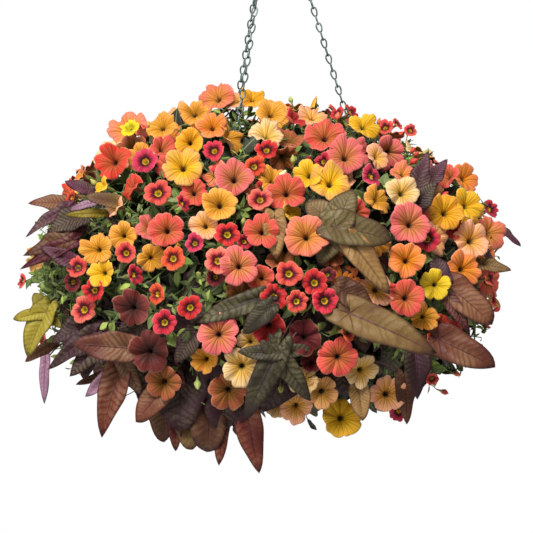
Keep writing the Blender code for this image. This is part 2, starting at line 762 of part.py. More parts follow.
def grow_hidden(shoots, taken, chance):
    """Blooms and vine leaves spread evenly over the sides, the back and the underside."""
    for kind, count in HIDDEN_BLOOMS.items():
        step = 0
        grown = 0
        while grown < count and step < 6 * count:
            level = 0.97 - 1.75 * ((step * 0.618034) % 1.0)
            azimuth = step * GOLDEN_ANGLE + (0.5 if kind == "c" else 0.0)
            step += 1
            polar = math.acos(max(-1.0, level))
            if faces_viewer(mound_point(polar, azimuth)):
                continue
            diameter = chance.uniform(0.042, 0.050) if kind == "p" else chance.uniform(0.028, 0.034)
            grown += grow_bloom(shoots, taken, kind, lambda inset: mound_point(polar, azimuth, inset),
                                diameter, chance)
    grown = 0
    step = 0
    while grown < HIDDEN_VINE_LEAVES and step < 6 * HIDDEN_VINE_LEAVES:
        polar = math.radians(60 + 85 * ((step * 0.618034) % 1.0))
        azimuth = step * GOLDEN_ANGLE + 1.1
        step += 1
        base = mound_point(polar, azimuth, 0.010)
        if faces_viewer(base):
            continue
        length = chance.uniform(0.05, 0.075)
        down = mound_point(polar + length / MOUND.z, azimuth + chance.uniform(-0.12, 0.12), 0.0)
        tip = base + (down - base).normalized() * length
        grown += grow_vine_leaf(shoots, taken, base, tip, 0.45 * length, mound_normal(base))


def grow_green_leaves(shoots, taken, chance):
    """Two plain leaves on each petunia and calibrachoa stem, from whichever sockets are still free."""
    for shoot in shoots:
        if shoot.kind == "v":
            continue
        length = 0.034 if shoot.kind == "p" else 0.022
        grown = 0
        for socket in list(shoot.sockets)[::-1]:
            if grown == 2:
                break
            out = socket.normal.copy()
            root = socket.calc_center_median() + 0.006 * out
            direction = (out + 0.5 * mound_normal(root) + 0.2 * Z).normalized()
            side, lift = cross_axes(direction, mound_normal(root))
            rings, end = leaf_rings(root, root + length * direction, 0.45 * length, lift, False)
            grown += grow([shoot], taken, shoot.kind, rings, end, 0.02) is not None


# ---- Build -----------------------------------------------------------------------------------

def build():
    holder = [make_hook(), make_gather_ring()]
    for k, name in enumerate(CHAIN_NAMES):
        offset = (0.0, RING_SPREAD, -RING_SPREAD)[k]
        holder.append(make_chain(name, CHAIN_TURN + 2 * math.pi * k / 3, offset))
    holder.append(make_level_ring("basket_rim_ring", RIM_RADIUS, RIM_Z, RIM_WIRE, 6))
    for name, depth in HOOP_DEPTHS.items():
        radius = bowl_radius(depth, RIM_RADIUS, BASKET_DEPTH) + 2.9 * RIB_WIRE + GAP
        holder.append(make_level_ring(f"basket_hoop_{name}", radius, RIM_Z - depth, RIB_WIRE, 4))
    holder += [make_ribs(), make_liner(), make_soil()]

    taken = []
    for piece in holder:
        bm = bmesh.new()
        bm.from_mesh(piece.data)
        taken.append(BVHTree.FromBMesh(bm))
        bm.free()

    chance = random.Random(7)
    shoots = plant_stems(taken)
    grow_front(shoots, taken, chance)
    grow_hidden(shoots, taken, chance)
    grow_green_leaves(shoots, taken, chance)
    for shoot in shoots:
        bmesh.ops.triangulate(shoot.bm, faces=shoot.bm.faces, quad_method="SHORT_EDGE")
        add_object(shoot.name, shoot.bm, GROWTH[shoot.kind], False)


build()
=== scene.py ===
import math

import bpy
import numpy as np
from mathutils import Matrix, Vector


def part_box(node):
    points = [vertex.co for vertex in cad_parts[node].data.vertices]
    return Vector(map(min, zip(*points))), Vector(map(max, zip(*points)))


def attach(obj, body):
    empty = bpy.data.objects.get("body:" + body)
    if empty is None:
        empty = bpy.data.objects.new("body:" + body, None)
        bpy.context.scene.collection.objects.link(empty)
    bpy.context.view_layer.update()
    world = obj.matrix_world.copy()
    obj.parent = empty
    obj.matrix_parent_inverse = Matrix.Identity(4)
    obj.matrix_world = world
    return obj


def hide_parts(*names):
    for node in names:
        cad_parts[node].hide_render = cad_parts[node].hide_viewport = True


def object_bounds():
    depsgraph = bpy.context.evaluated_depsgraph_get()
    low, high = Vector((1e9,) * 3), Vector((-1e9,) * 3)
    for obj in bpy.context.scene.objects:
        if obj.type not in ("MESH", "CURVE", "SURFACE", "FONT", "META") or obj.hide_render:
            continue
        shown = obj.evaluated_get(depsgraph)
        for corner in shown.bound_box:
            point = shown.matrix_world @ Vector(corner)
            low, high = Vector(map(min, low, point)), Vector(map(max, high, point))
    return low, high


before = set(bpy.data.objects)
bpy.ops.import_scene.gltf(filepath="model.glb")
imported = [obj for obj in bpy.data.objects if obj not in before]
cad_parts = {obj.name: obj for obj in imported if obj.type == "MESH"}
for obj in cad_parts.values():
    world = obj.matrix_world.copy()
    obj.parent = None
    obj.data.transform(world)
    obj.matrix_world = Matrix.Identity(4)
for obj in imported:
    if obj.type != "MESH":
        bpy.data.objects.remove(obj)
cad_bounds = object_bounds()

# ---- Where the basket hangs and who looks at it ------------------------------------------------
# The planted mound sits round the basket's rim, about twice as wide as the wire bowl itself.
# It is seen from the front, a little above, from far enough away that the chains run out of view.

CM = 0.01
MM = 0.001
rim_low, rim_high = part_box("basket_rim_ring")
RIM_WIRE = 0.0025
RIM_RADIUS = (rim_high.x - rim_low.x) / 2 - RIM_WIRE
RIM_CENTRE = (rim_low + rim_high) / 2
MOUND_CENTRE = np.array(RIM_CENTRE) + RIM_RADIUS * np.array([-0.060, 0.0, -0.053])
MOUND = RIM_RADIUS * np.array([2.0, 1.933, 1.5])

VIEW_TILT = math.radians(10)
VIEW_DISTANCE = 2.30
SCREEN_UP = np.array([0, math.sin(VIEW_TILT), math.cos(VIEW_TILT)])
TO_VIEWER = np.array([0, -math.cos(VIEW_TILT), math.sin(VIEW_TILT)])
VIEW_WIDTH = 0.666                                   # what the frame takes in at the mound
AIM_ABOVE_CENTRE = 0.0106
SENSOR_WIDTH = 36
AIM = MOUND_CENTRE + AIM_ABOVE_CENTRE * SCREEN_UP
EYE = AIM + VIEW_DISTANCE * TO_VIEWER

camera = bpy.data.objects.new("front_camera", bpy.data.cameras.new("front_camera"))
bpy.context.collection.objects.link(camera)
camera.location = EYE
camera.rotation_euler = (math.pi / 2 - VIEW_TILT, 0, 0)
camera.data.sensor_width = SENSOR_WIDTH
camera.data.lens = SENSOR_WIDTH * VIEW_DISTANCE / VIEW_WIDTH
bpy.context.scene.camera = camera


# ---- Hanger hook and gathering ring -----------------------------------------------------------
# The hook is one length of 5 mm wire, bent into an open crook and a small eye, powder coated dark
# green. A welded ring of 3 mm wire passes through the eye and gathers the three chains.

def unit(vectors):
    return vectors / np.maximum(np.linalg.norm(vectors, axis=-1, keepdims=True), 1e-9)


def paint(code, alpha=1.0):
    """Linear colour of an sRGB hex code."""
    parts = [int(code[k:k + 2], 16) / 255 for k in (0, 2, 4)]
    linear = [part / 12.92 if part <= 0.04045 else ((part + 0.055) / 1.055) ** 2.4 for part in parts]
    return (*linear, alpha)


def tube_faces(rows, sides, closed=False):
    """Side quads and, on an open tube, its two caps, as rows of corner numbers."""
    faces = []
    for row in range(rows if closed else rows - 1):
        following = (row + 1) % rows
        for k in range(sides):
            after = (k + 1) % sides
            faces.append((row * sides + k, row * sides + after,
                          following * sides + after, following * sides + k))
    if not closed:
        faces.append(tuple(range(sides))[::-1])
        faces.append(tuple((rows - 1) * sides + k for k in range(sides)))
    return faces


def wrap_map(faces, around, rows):
    """Flat map of a tube pattern: once round it, and from its first row to its last."""
    corner_map = []
    for face in faces:
        columns = [corner % around for corner in face]
        wraps = len(face) == 4 and max(columns) - min(columns) > 1
        for corner, column in zip(face, columns):
            turn = (around if wraps and column == 0 else column) / around
            corner_map.append((turn, corner // around / (rows - 1)))
    return np.array(corner_map)


def tube_points(paths, radii, sides, hint=(0.0, 0.0, 1.0), closed=False):
    """Cross sections along many paths at once. paths is (count, rows, 3) and radii (count, rows)."""
    paths = np.asarray(paths, float)
    radii = np.broadcast_to(np.asarray(radii, float), paths.shape[:2])
    if closed:
        along = np.roll(paths, -1, axis=1) - np.roll(paths, 1, axis=1)
    else:
        along = np.gradient(paths, axis=1)
    along = unit(along)
    hint = np.broadcast_to(np.asarray(hint, float), paths.shape)
    side = unit(np.cross(along, hint))
    up = np.cross(along, side)
    turns = 2 * np.pi * np.arange(sides) / sides
    ring = (np.cos(turns)[:, None] * side[:, :, None, :] + np.sin(turns)[:, None] * up[:, :, None, :])
    points = paths[:, :, None, :] + radii[:, :, None, None] * ring
    return points.reshape(len(paths), -1, 3)


def make_piece(name, points, faces, material, corner_maps=None, layers=None, sharp=None):
    """Join many copies of one face pattern into a piece that rides on the basket.

    points is (count, corners, 3). corner_maps holds (face corners, 2) maps of one copy, layers
    holds colours of (count, 3) or (count, corners, 3) and values of (corners,) or (count, corners).
    """
    points = np.asarray(points, np.float32)
    count, corners = points.shape[:2]
    everything = []
    for k in range(count):
        shift = k * corners
        everything += [tuple(corner + shift for corner in face) for face in faces]
    mesh = bpy.data.meshes.new(name)
    mesh.from_pydata(points.reshape(-1, 3), [], everything)
    for map_name, (single, tiled) in (corner_maps or {}).items():
        flat = np.tile(single, (count, 1))
        if tiled:
            side = math.ceil(math.sqrt(count))
            cell = np.repeat(np.arange(count), len(single))
            flat = (flat * 0.94 + 0.03 + np.stack([cell % side, cell // side], axis=1)) / side
        mesh.uv_layers.new(name=map_name).data.foreach_set("uv", flat.astype(np.float32).ravel())
    for layer_name, values in (layers or {}).items():
        values = np.asarray(values, np.float32)
        if layer_name.endswith("_colour"):
            if values.ndim == 2:
                values = np.repeat(values[:, None, :], corners, axis=1)
            full = np.ones((count, corners, 4), np.float32)
            full[:, :, :3] = values[:, :, :3]
            mesh.attributes.new(layer_name, "FLOAT_COLOR", "POINT").data.foreach_set("color", full.ravel())
        else:
            full = np.broadcast_to(values, (count, corners)).astype(np.float32)
            mesh.attributes.new(layer_name, "FLOAT", "POINT").data.foreach_set("value", full.ravel())
    mesh.materials.append(material)
    mesh.shade_smooth()
    if sharp:
        mesh.set_sharp_from_angle(angle=math.radians(sharp))
    piece = bpy.data.objects.new(name, mesh)
    bpy.context.collection.objects.link(piece)
    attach(piece, "root")
    return piece


class Nodes:
    """Small helper to lay out one material's nodes."""

    def __init__(self, name, roughness, metallic=0.0):
        self.material = bpy.data.materials.new(name)
        self.material.use_nodes = True
        self.tree = self.material.node_tree
        self.shader = self.tree.nodes["Principled BSDF"]
        self.shader.inputs["Roughness"].default_value = roughness
        self.shader.inputs["Metallic"].default_value = metallic

    def node(self, kind, **values):
        made = self.tree.nodes.new(kind)
        for key, value in values.items():
            setattr(made, key, value)
        return made

    def join(self, source, target):
        self.tree.links.new(source, target)

    def fill(self, socket, value):
        if isinstance(value, bpy.types.NodeSocket):
            self.join(value, socket)
        else:
            socket.default_value = value

    def math(self, operation, first, second=0.0, third=0.0, clamp=False):
        made = self.node("ShaderNodeMath", operation=operation, use_clamp=clamp)
        for socket, value in zip(made.inputs, (first, second, third)):
            self.fill(socket, value)
        return made.outputs[0]

    def mix(self, factor, first, second, blend="MIX"):
        made = self.node("ShaderNodeMix", data_type="RGBA", blend_type=blend)
        self.fill(made.inputs[0], factor)
        self.fill(made.inputs[6], first)
        self.fill(made.inputs[7], second)
        return made.outputs[2]

    def band(self, value, low, high):
        """0 below low and 1 above high, or the other way round, with soft ends."""
        made = self.node("ShaderNodeMapRange", interpolation_type="SMOOTHSTEP", clamp=True)
        turned = low > high
        self.fill(made.inputs[0], value)
        made.inputs[1].default_value = min(low, high)
        made.inputs[2].default_value = max(low, high)
        made.inputs[3].default_value = 1.0 if turned else 0.0
        made.inputs[4].default_value = 0.0 if turned else 1.0
        return made.outputs[0]

    def noise(self, scale, detail=2.0, vector=None, distortion=0.0):
        made = self.node("ShaderNodeTexNoise")
        self.join(vector or self.places(), made.inputs["Vector"])
        made.inputs["Scale"].default_value = scale
        made.inputs["Detail"].default_value = detail
        made.inputs["Distortion"].default_value = distortion
        return made.outputs[0]

    def places(self):
        return self.node("ShaderNodeTexCoord").outputs["Object"]

    def layer(self, name, plain=False):
        return self.node("ShaderNodeAttribute", attribute_name=name).outputs["Fac" if plain else "Color"]

    def flat_map(self, name):
        split = self.node("ShaderNodeSeparateXYZ")
        self.join(self.node("ShaderNodeUVMap", uv_map=name).outputs[0], split.inputs[0])
        return split.outputs[0], split.outputs[1]

    def bump(self, height, strength, distance):
        made = self.node("ShaderNodeBump")
        made.inputs["Strength"].default_value = strength
        made.inputs["Distance"].default_value = distance
        self.join(height, made.inputs["Height"])
        self.join(made.outputs[0], self.shader.inputs["Normal"])

    def finish(self, colour, roughness=None):
        self.join(colour, self.shader.inputs["Base Color"])
        if roughness is not None:
            self.join(roughness, self.shader.inputs["Roughness"])
        return self.material


def coated_wire(name, coat, worn, wear):
    """Powder coat over steel, scuffed through to brighter metal here and there."""
    n = Nodes(name, 0.42, 0.55)
    scuffs = n.band(n.noise(160, 5, distortion=0.6), 0.62 - wear, 0.72 - wear)
    dust = n.noise(45, 3)
    colour = n.mix(scuffs, n.mix(dust, coat, paint("6f7f78")), worn)
    n.bump(n.noise(900, 3), 0.25, 0.0003)
    return n.finish(colour, n.math("MULTIPLY_ADD", scuffs, -0.12, 0.5))


HOOK_COAT = coated_wire("hook_coat", paint("22332e"), paint("7b8782"), 0.02)
CROOK_RADIUS = 0.015
HOOK_WIRE = 0.0025
EYE_RADIUS = 0.0065
EYE_CENTRE_Z = -0.060
HOOK_ROWS, HOOK_SIDES = 110, 18
RING_RADIUS = 0.013
RING_WIRE = 0.0015
RING_ROWS, RING_SIDES = 64, 14


def smooth_path(points, count):
    """Evenly spaced points on a smooth curve through the given ones (Catmull-Rom)."""
    points = np.asarray(points, float)
    ends = np.vstack([2 * points[0] - points[1], points, 2 * points[-1] - points[-2]])
    dense = []
    for k in range(len(points) - 1):
        a, b, c, d = ends[k:k + 4]
        for t in np.linspace(0, 1, 24, endpoint=False):
            dense.append(0.5 * (2 * b + (c - a) * t + (2 * a - 5 * b + 4 * c - d) * t * t
                                + (3 * b - a - 3 * c + d) * t ** 3))
    dense.append(points[-1])
    dense = np.array(dense)
    travelled = np.concatenate([[0], np.cumsum(np.linalg.norm(np.diff(dense, axis=0), axis=1))])
    wanted = np.linspace(0, travelled[-1], count)
    return np.stack([np.interp(wanted, travelled, dense[:, k]) for k in range(3)], axis=1)


crook = CROOK_RADIUS + HOOK_WIRE
hook_route = []
for degrees in range(200, -41, -20):
    turn = math.radians(degrees)
    hook_route.append((crook * math.cos(turn), 0, crook * math.sin(turn) - CROOK_RADIUS))
hook_route += [(0.0075, 0, -0.0345), (0.0015, 0, -0.0410), (0, 0, -0.0480)]
for degrees in range(60, -211, -30):
    turn = math.radians(degrees)
    hook_route.append((EYE_RADIUS * math.cos(turn), 0, EYE_CENTRE_Z + EYE_RADIUS * math.sin(turn)))
hook_path = smooth_path(hook_route, HOOK_ROWS)
hook_girth = np.full(HOOK_ROWS, HOOK_WIRE)
hook_girth[[0, -1]] *= 0.55
hook_girth[[1, -2]] *= 0.9
hook_points = tube_points([hook_path], [hook_girth], HOOK_SIDES, hint=(0, 1, 0))
hook = make_piece("hanger_hook_wire", hook_points, tube_faces(HOOK_ROWS, HOOK_SIDES), HOOK_COAT)
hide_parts("hanger_hook")

ring_low, ring_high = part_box("gather_ring")
RING_CENTRE = (np.array(ring_low) + np.array(ring_high)) / 2
turns = np.linspace(0, 2 * np.pi, RING_ROWS, endpoint=False)
ring_path = RING_CENTRE + RING_RADIUS * np.stack([0 * turns, np.cos(turns), np.sin(turns)], axis=1)
ring_girth = RING_WIRE * (1 + 0.18 * np.exp(-((turns - 0.6) / 0.09) ** 2))
ring_points = tube_points([ring_path], [ring_girth], RING_SIDES, hint=(1, 0, 0), closed=True)
gather_ring = make_piece("gather_ring_wire", ring_points, tube_faces(RING_ROWS, RING_SIDES, closed=True),
                         HOOK_COAT)
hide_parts("gather_ring")

# ---- Chains -----------------------------------------------------------------------------------
# Single jack chain: each link is one piece of 2 mm steel wire bent into two pear-shaped loops set
# square to each other. The wire is coated grey-green; the last link is opened wide round the rim.

CHAIN_COAT = coated_wire("chain_coat", paint("3c524f"), paint("93a5a4"), 0.10)
LINK_PITCH = 0.0205
LINK_WIRE = 0.00095
LINK_HALF_WIDTH = 0.0033
CLIP_HALF_WIDTH = 0.0050                             # the last link goes round the rim
LINK_ROWS = 44
LINK_SIDES = 8
CHAINS = {"chain_right": (0, 0.0), "chain_back_left": (1, 0.008), "chain_front_left": (2, -0.008)}
CHAIN_TURN = math.radians(2)


def loop_profile(t, reach, width):
    """One pear-shaped loop that leaves the waist on one side and comes back on the other."""
    sideways = -(LINK_WIRE * np.cos(t / 2) + width * np.sin(t) * (0.72 - 0.28 * np.cos(t)))
    return sideways, reach * (1 - np.cos(t))


for chain_name, (place, ring_offset) in CHAINS.items():
    azimuth = CHAIN_TURN + 2 * math.pi * place / 3
    sag = math.sqrt(RING_RADIUS ** 2 - ring_offset ** 2)
    top = RING_CENTRE + np.array([0, ring_offset, -sag])
    foot = np.array(RIM_CENTRE) + RIM_RADIUS * np.array([math.cos(azimuth), math.sin(azimuth), 0])
    down = unit(foot - top)
    start = top - (RING_WIRE + LINK_WIRE) * down
    end = foot + (RIM_WIRE + LINK_WIRE) * down
    links = round(float(np.linalg.norm(end - start)) / LINK_PITCH)
    pitch = (np.linalg.norm(end - start) - 2 * LINK_WIRE) / links
    reach = (pitch + 2 * LINK_WIRE) / 4
    across = unit(np.cross(down, np.array([0, sag, ring_offset])))
    square = np.cross(down, across)
    t = np.linspace(0, 2 * np.pi, LINK_ROWS // 2)
    link_paths = []
    for k in range(links):
        wide = CLIP_HALF_WIDTH if k == links - 1 else LINK_HALF_WIDTH
        twist = 0.12 * math.sin(2.4 * k + place)
        side_u = math.cos(twist) * across + math.sin(twist) * square
        side_v = np.cross(down, side_u)
        waist = start + (LINK_WIRE + pitch * (k + 0.5)) * down
        upper_side, upper_rise = loop_profile(t, reach, LINK_HALF_WIDTH)
        lower_side, lower_rise = loop_profile(t, reach, wide)
        upper = waist + upper_side[:, None] * side_u - upper_rise[:, None] * down
        lower = waist + lower_side[:, None] * side_v + lower_rise[:, None] * down
        link_paths.append(np.vstack([upper, lower]))
    link_points = tube_points(link_paths, LINK_WIRE, LINK_SIDES, hint=unit(across + square))
    chain = make_piece(f"{chain_name}_links", link_points, tube_faces(LINK_ROWS, LINK_SIDES),
                       CHAIN_COAT)
    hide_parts(chain_name)

# ---- Wire basket ------------------------------------------------------------------------------
# A bowl of welded wire: a heavy rim ring, two hoops, and twelve ribs that curve down to a small
# disc under the bowl. All of it is powder coated dark green and mostly hidden by the plants.

BASKET_COAT = coated_wire("basket_coat", paint("1d2b26"), paint("6a736c"), 0.0)
BASKET_DEPTH = 0.155
RIB_WIRE = 0.0018
RIB_COUNT = 12
HOOP_DEPTHS = {"upper": 0.050, "lower": 0.105}
RIB_ROWS, RIB_SIDES = 40, 10
HOOP_SIDES = 12
DISC_RADIUS = 0.013
AXIS_HOLE = 0.0008                                   # turned shapes close to this radius
BASKET_AROUND = 96
SMOOTH_TURN = np.linspace(0, 2 * np.pi, BASKET_AROUND, endpoint=False)


def bowl_radius(depth, radius, full_depth):
    return radius * np.sqrt(np.maximum(0.0, 1 - (depth / full_depth) ** 2))


def level_circle(radius, height):
    return np.stack([radius * np.cos(SMOOTH_TURN), radius * np.sin(SMOOTH_TURN),
                     height + 0 * SMOOTH_TURN], axis=1)


def level_ring(name, node, radius, height, wire):
    points = tube_points([level_circle(radius, height)], wire, HOOP_SIDES, closed=True)
    ring = make_piece(name, points, tube_faces(BASKET_AROUND, HOOP_SIDES, closed=True), BASKET_COAT)
    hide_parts(node)


level_ring("rim_ring_wire", "basket_rim_ring", RIM_RADIUS, RIM_CENTRE.z, RIM_WIRE)
for hoop_name, hoop_depth in HOOP_DEPTHS.items():
    hoop_radius = bowl_radius(hoop_depth, RIM_RADIUS, BASKET_DEPTH) + 2 * RIB_WIRE + 0.0004
    level_ring(f"hoop_{hoop_name}_wire", f"basket_hoop_{hoop_name}", hoop_radius,
               RIM_CENTRE.z - hoop_depth, RIB_WIRE)

rib_paths = []
for k in range(RIB_COUNT):
    facing = 2 * math.pi * (k + 0.5) / RIB_COUNT
    slopes = np.linspace(0.02, math.acos((RIM_WIRE + RIB_WIRE) / BASKET_DEPTH), RIB_ROWS)
    depths = BASKET_DEPTH * np.cos(slopes)
    radii = np.maximum(bowl_radius(depths, RIM_RADIUS, BASKET_DEPTH), 0.4 * DISC_RADIUS)
    rib = [radii * math.cos(facing), radii * math.sin(facing), RIM_CENTRE.z - depths]
    rib_paths.append(np.stack(rib, axis=1))
ribs = make_piece("basket_rib_wires", tube_points(rib_paths, RIB_WIRE, RIB_SIDES), tube_faces(RIB_ROWS, RIB_SIDES),
                  BASKET_COAT)
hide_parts("basket_ribs")


def turned_rows(profile):
    """Rings of points round the basket's axis for each (radius, height) of a profile."""
    return np.concatenate([level_circle(max(radius, AXIS_HOLE), height) for radius, height in profile])


disc_profile = [(radius, RIM_CENTRE.z - BASKET_DEPTH + height) for radius, height in (
    (0.0, -0.0019), (0.0105, -0.0019), (0.0128, -0.0012), (0.0134, 0.0), (0.0128, 0.0012), (0.0, 0.0019))]
make_piece("basket_base_disc", turned_rows(disc_profile)[None], tube_faces(len(disc_profile), BASKET_AROUND),
           BASKET_COAT, sharp=40)

# ---- Coir liner -------------------------------------------------------------------------------
# A moulded bowl of coconut fibre, 8 mm thick, pressed into the wire and standing a little above
# the rim. Loose fibres lie over its surface and stick out at its edge.

chance = np.random.default_rng(11)
LINER_RADIUS = 0.143
LINER_DEPTH = 0.149
LINER_WALL = 0.008
LINER_TOP = RIM_CENTRE.z + 0.010
LINER_ROWS = 22
FIBRE_COUNT = 1500
FIBRE_ROWS, FIBRE_SIDES, FIBRE_GIRTH = 6, 4, 0.00028


def coir_material(name, dark, light):
    n = Nodes(name, 0.95)
    strands = n.noise(260, 6, distortion=2.5)
    patches = n.noise(28, 3)
    colour = n.mix(n.band(strands, 0.35, 0.68), dark, light)
    colour = n.mix(n.math("MULTIPLY", patches, 0.5), colour, paint("3a2414"))
    n.bump(strands, 0.9, 0.0012)
    return n.finish(colour)


liner_profile = []
for k in range(LINER_ROWS):
    slope = 0.5 * math.pi * k / (LINER_ROWS - 1)
    liner_profile.append((LINER_RADIUS * math.sin(slope), RIM_CENTRE.z - LINER_DEPTH * math.cos(slope)))
liner_profile += [(LINER_RADIUS, LINER_TOP - 0.004), (LINER_RADIUS - 0.002, LINER_TOP)]
inner_radius = LINER_RADIUS - LINER_WALL
liner_profile += [(inner_radius + 0.002, LINER_TOP), (inner_radius, LINER_TOP - 0.004)]
for k in reversed(range(LINER_ROWS)):
    slope = 0.5 * math.pi * k / (LINER_ROWS - 1)
    height = RIM_CENTRE.z - (LINER_DEPTH - LINER_WALL) * math.cos(slope)
    liner_profile.append((inner_radius * math.sin(slope), height))
liner_points = turned_rows(liner_profile)
lump_x, lump_y, lump_z = liner_points.T
lumps = np.sin(61 * lump_x + 3) * np.sin(73 * lump_y) * np.sin(67 * lump_z)
liner_points = liner_points * (1 + 0.010 * lumps[:, None] * np.array([1, 1, 0]))
COIR = coir_material("coir", paint("4a2e18"), paint("9a6c3f"))
liner = make_piece("coir_liner_bowl", liner_points[None], tube_faces(len(liner_profile), BASKET_AROUND),
                   COIR)
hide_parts("coco_liner")

slope = np.arccos(chance.uniform(0.0, 0.98, FIBRE_COUNT))
chance.integers(3, size=FIBRE_COUNT)                 # an unused draw that keeps the later draws as they are
azimuth = chance.uniform(0, 2 * np.pi, FIBRE_COUNT)
heading = chance.uniform(0, 2 * np.pi, FIBRE_COUNT)
steps = np.linspace(-0.5, 0.5, FIBRE_ROWS)
length = chance.uniform(0.015, 0.045, FIBRE_COUNT) / LINER_RADIUS
curl = chance.uniform(-1.6, 1.6, FIBRE_COUNT)
along_turn = heading[:, None] + curl[:, None] * steps
fibre_slope = slope[:, None] + length[:, None] * steps * np.cos(along_turn)
around_bowl = np.maximum(np.sin(slope)[:, None], 0.3)
fibre_azimuth = azimuth[:, None] + length[:, None] * steps * np.sin(along_turn) / around_bowl
lift = 1.004 + 0.012 * np.abs(np.sin(7 * azimuth))[:, None] * (2 * steps) ** 2
fibre_paths = np.stack([
    LINER_RADIUS * lift * np.sin(fibre_slope) * np.cos(fibre_azimuth),
    LINER_RADIUS * lift * np.sin(fibre_slope) * np.sin(fibre_azimuth),
    RIM_CENTRE.z - LINER_DEPTH * lift * np.cos(fibre_slope)], axis=2)
make_piece("coir_loose_fibres", tube_points(fibre_paths, FIBRE_GIRTH, FIBRE_SIDES, hint=(0.3, 0.5, 0.8)),
           tube_faces(FIBRE_ROWS, FIBRE_SIDES), coir_material("coir_strand", paint("6b4526"), paint("b98a55")))

# ---- Potting soil -----------------------------------------------------------------------------
# Dark peat and bark mix, heaped in the middle with a watering gap at the edge, and flecked with
# white perlite. Larger crumbs of bark lie on top.

SOIL_RADIUS = inner_radius - 0.001
SOIL_SIDE_ROWS = 12                                  # steps from the foot up to the heap, which alone is bumpy
CRUMB_COUNT = 420


def soil_height(radius):
    return RIM_CENTRE.z - 0.012 + 0.020 * (1 - (radius / LINER_RADIUS) ** 2)


def soil_material():
    n = Nodes("potting_mix", 1.0)
    crumbs = n.noise(220, 8)
    specks = n.node("ShaderNodeTexVoronoi", feature="F1")
    n.join(n.places(), specks.inputs["Vector"])
    specks.inputs["Scale"].default_value = 190
    grain = n.mix(n.band(crumbs, 0.35, 0.7), paint("1c130c"), paint("4a3423"))
    perlite = n.math("MULTIPLY", n.band(specks.outputs["Distance"], 0.20, 0.12),
                     n.band(n.noise(90, 1), 0.60, 0.64))
    n.bump(crumbs, 1.0, 0.002)
    return n.finish(n.mix(perlite, grain, paint("d8d4c8")))


SOIL = soil_material()
soil_depth = LINER_DEPTH - LINER_WALL - 0.001
soil_profile = []
for k in range(SOIL_SIDE_ROWS - 1):
    slope = 0.5 * math.pi * k / SOIL_SIDE_ROWS
    soil_profile.append((SOIL_RADIUS * math.sin(slope), RIM_CENTRE.z - soil_depth * math.cos(slope)))
for share in np.linspace(1, 0, 30):
    soil_profile.append((0.975 * SOIL_RADIUS * share, soil_height(SOIL_RADIUS * share)))
soil_points = turned_rows(soil_profile)
soil_x, soil_y = soil_points[:, 0], soil_points[:, 1]
bumps = np.sin(210 * soil_x + 1) * np.sin(190 * soil_y + 2) + 0.5 * np.sin(430 * soil_x) * np.sin(410 * soil_y)
soil_points[:, 2] += 0.0016 * bumps * (np.arange(len(soil_points)) > SOIL_SIDE_ROWS * BASKET_AROUND)
soil = make_piece("potting_soil_heap", soil_points[None], tube_faces(len(soil_profile), BASKET_AROUND),
                  SOIL)
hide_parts("potting_soil")

crumb_spot = SOIL_RADIUS * 0.92 * np.sqrt(chance.uniform(0, 1, CRUMB_COUNT))
crumb_turn = chance.uniform(0, 2 * np.pi, CRUMB_COUNT)
crumb_size = chance.uniform(0.0015, 0.0042, CRUMB_COUNT)
crumb_centre = np.stack([crumb_spot * np.cos(crumb_turn), crumb_spot * np.sin(crumb_turn),
                         soil_height(crumb_spot) + 0.3 * crumb_size], axis=1)
crumb_axis = unit(chance.normal(size=(CRUMB_COUNT, 3)))
crumb_steps = np.array([-1, -.5, .3, 1])[:, None]
crumb_paths = crumb_centre[:, None] + crumb_axis[:, None] * crumb_size[:, None, None] * crumb_steps
crumb_girth = (crumb_size[:, None] * np.array([0.25, 0.75, 0.7, 0.2])
               * chance.uniform(0.6, 1.1, (CRUMB_COUNT, 4)))
make_piece("bark_crumbs", tube_points(crumb_paths, crumb_girth, 6, hint=(0.4, 0.5, 0.7)), tube_faces(4, 6),
           SOIL)

# ---- Shoots of the plants ----------------------------------------------------------------------
# Nineteen petunia shoots, eleven calibrachoa shoots and thirteen sweet potato vines are rooted in
# the soil and bend out over the rim. Each grown shoot's root and spread set where its parts go.

KINDS = ("petunia_shoot", "calibrachoa_shoot", "sweet_potato_vine")
RIGHT = np.array([1.0, 0, 0])
ABOVE = np.array([0, 0, 1.0])
FACES_VIEWER = 0.12                                  # least cosine from the viewer at which a place is seen
STEM_ROWS = 40


def on_mound(across, up, inset):
    """Places on the mound's front that the elevation shows, given in metres, as (count, 3)."""
    aims = MOUND_CENTRE + np.outer(across, RIGHT) + np.outer(up, SCREEN_UP)
    rays = unit(aims - EYE)
    size = MOUND[None, :] - np.asarray(inset)[:, None]
    start = (EYE - MOUND_CENTRE) / size
    run = rays / size
    a = (run * run).sum(1)
    b = (start * run).sum(1)
    c = (start * start).sum(1) - 1
    inside = b * b - a * c
    hit = (-b - np.sqrt(np.maximum(inside, 0))) / a
    level = np.linalg.norm(aims - EYE, axis=1)
    return EYE + rays * np.where(inside < 0, level, hit)[:, None]


def mound_place(polar, azimuth, inset):
    level = np.stack([np.sin(polar) * np.cos(azimuth), np.sin(polar) * np.sin(azimuth),
                      np.cos(polar)], axis=1)
    return MOUND_CENTRE + level * (MOUND[None, :] - np.asarray(inset)[:, None])


def mound_normal(places):
    return unit((places - MOUND_CENTRE) / MOUND ** 2)


def towards_viewer(places):
    return (mound_normal(places) * unit(EYE - places)).sum(1)


def seen_by_viewer(places):
    return towards_viewer(places) > FACES_VIEWER


def unpack_corners(node):
    flat = np.empty(3 * len(node.data.vertices), np.float32)
    node.data.vertices.foreach_get("co", flat)
    return flat.reshape(-1, 3).astype(float)


shoot_corners = {name: unpack_corners(node) for name, node in sorted(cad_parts.items())
                 if name.startswith(KINDS)}


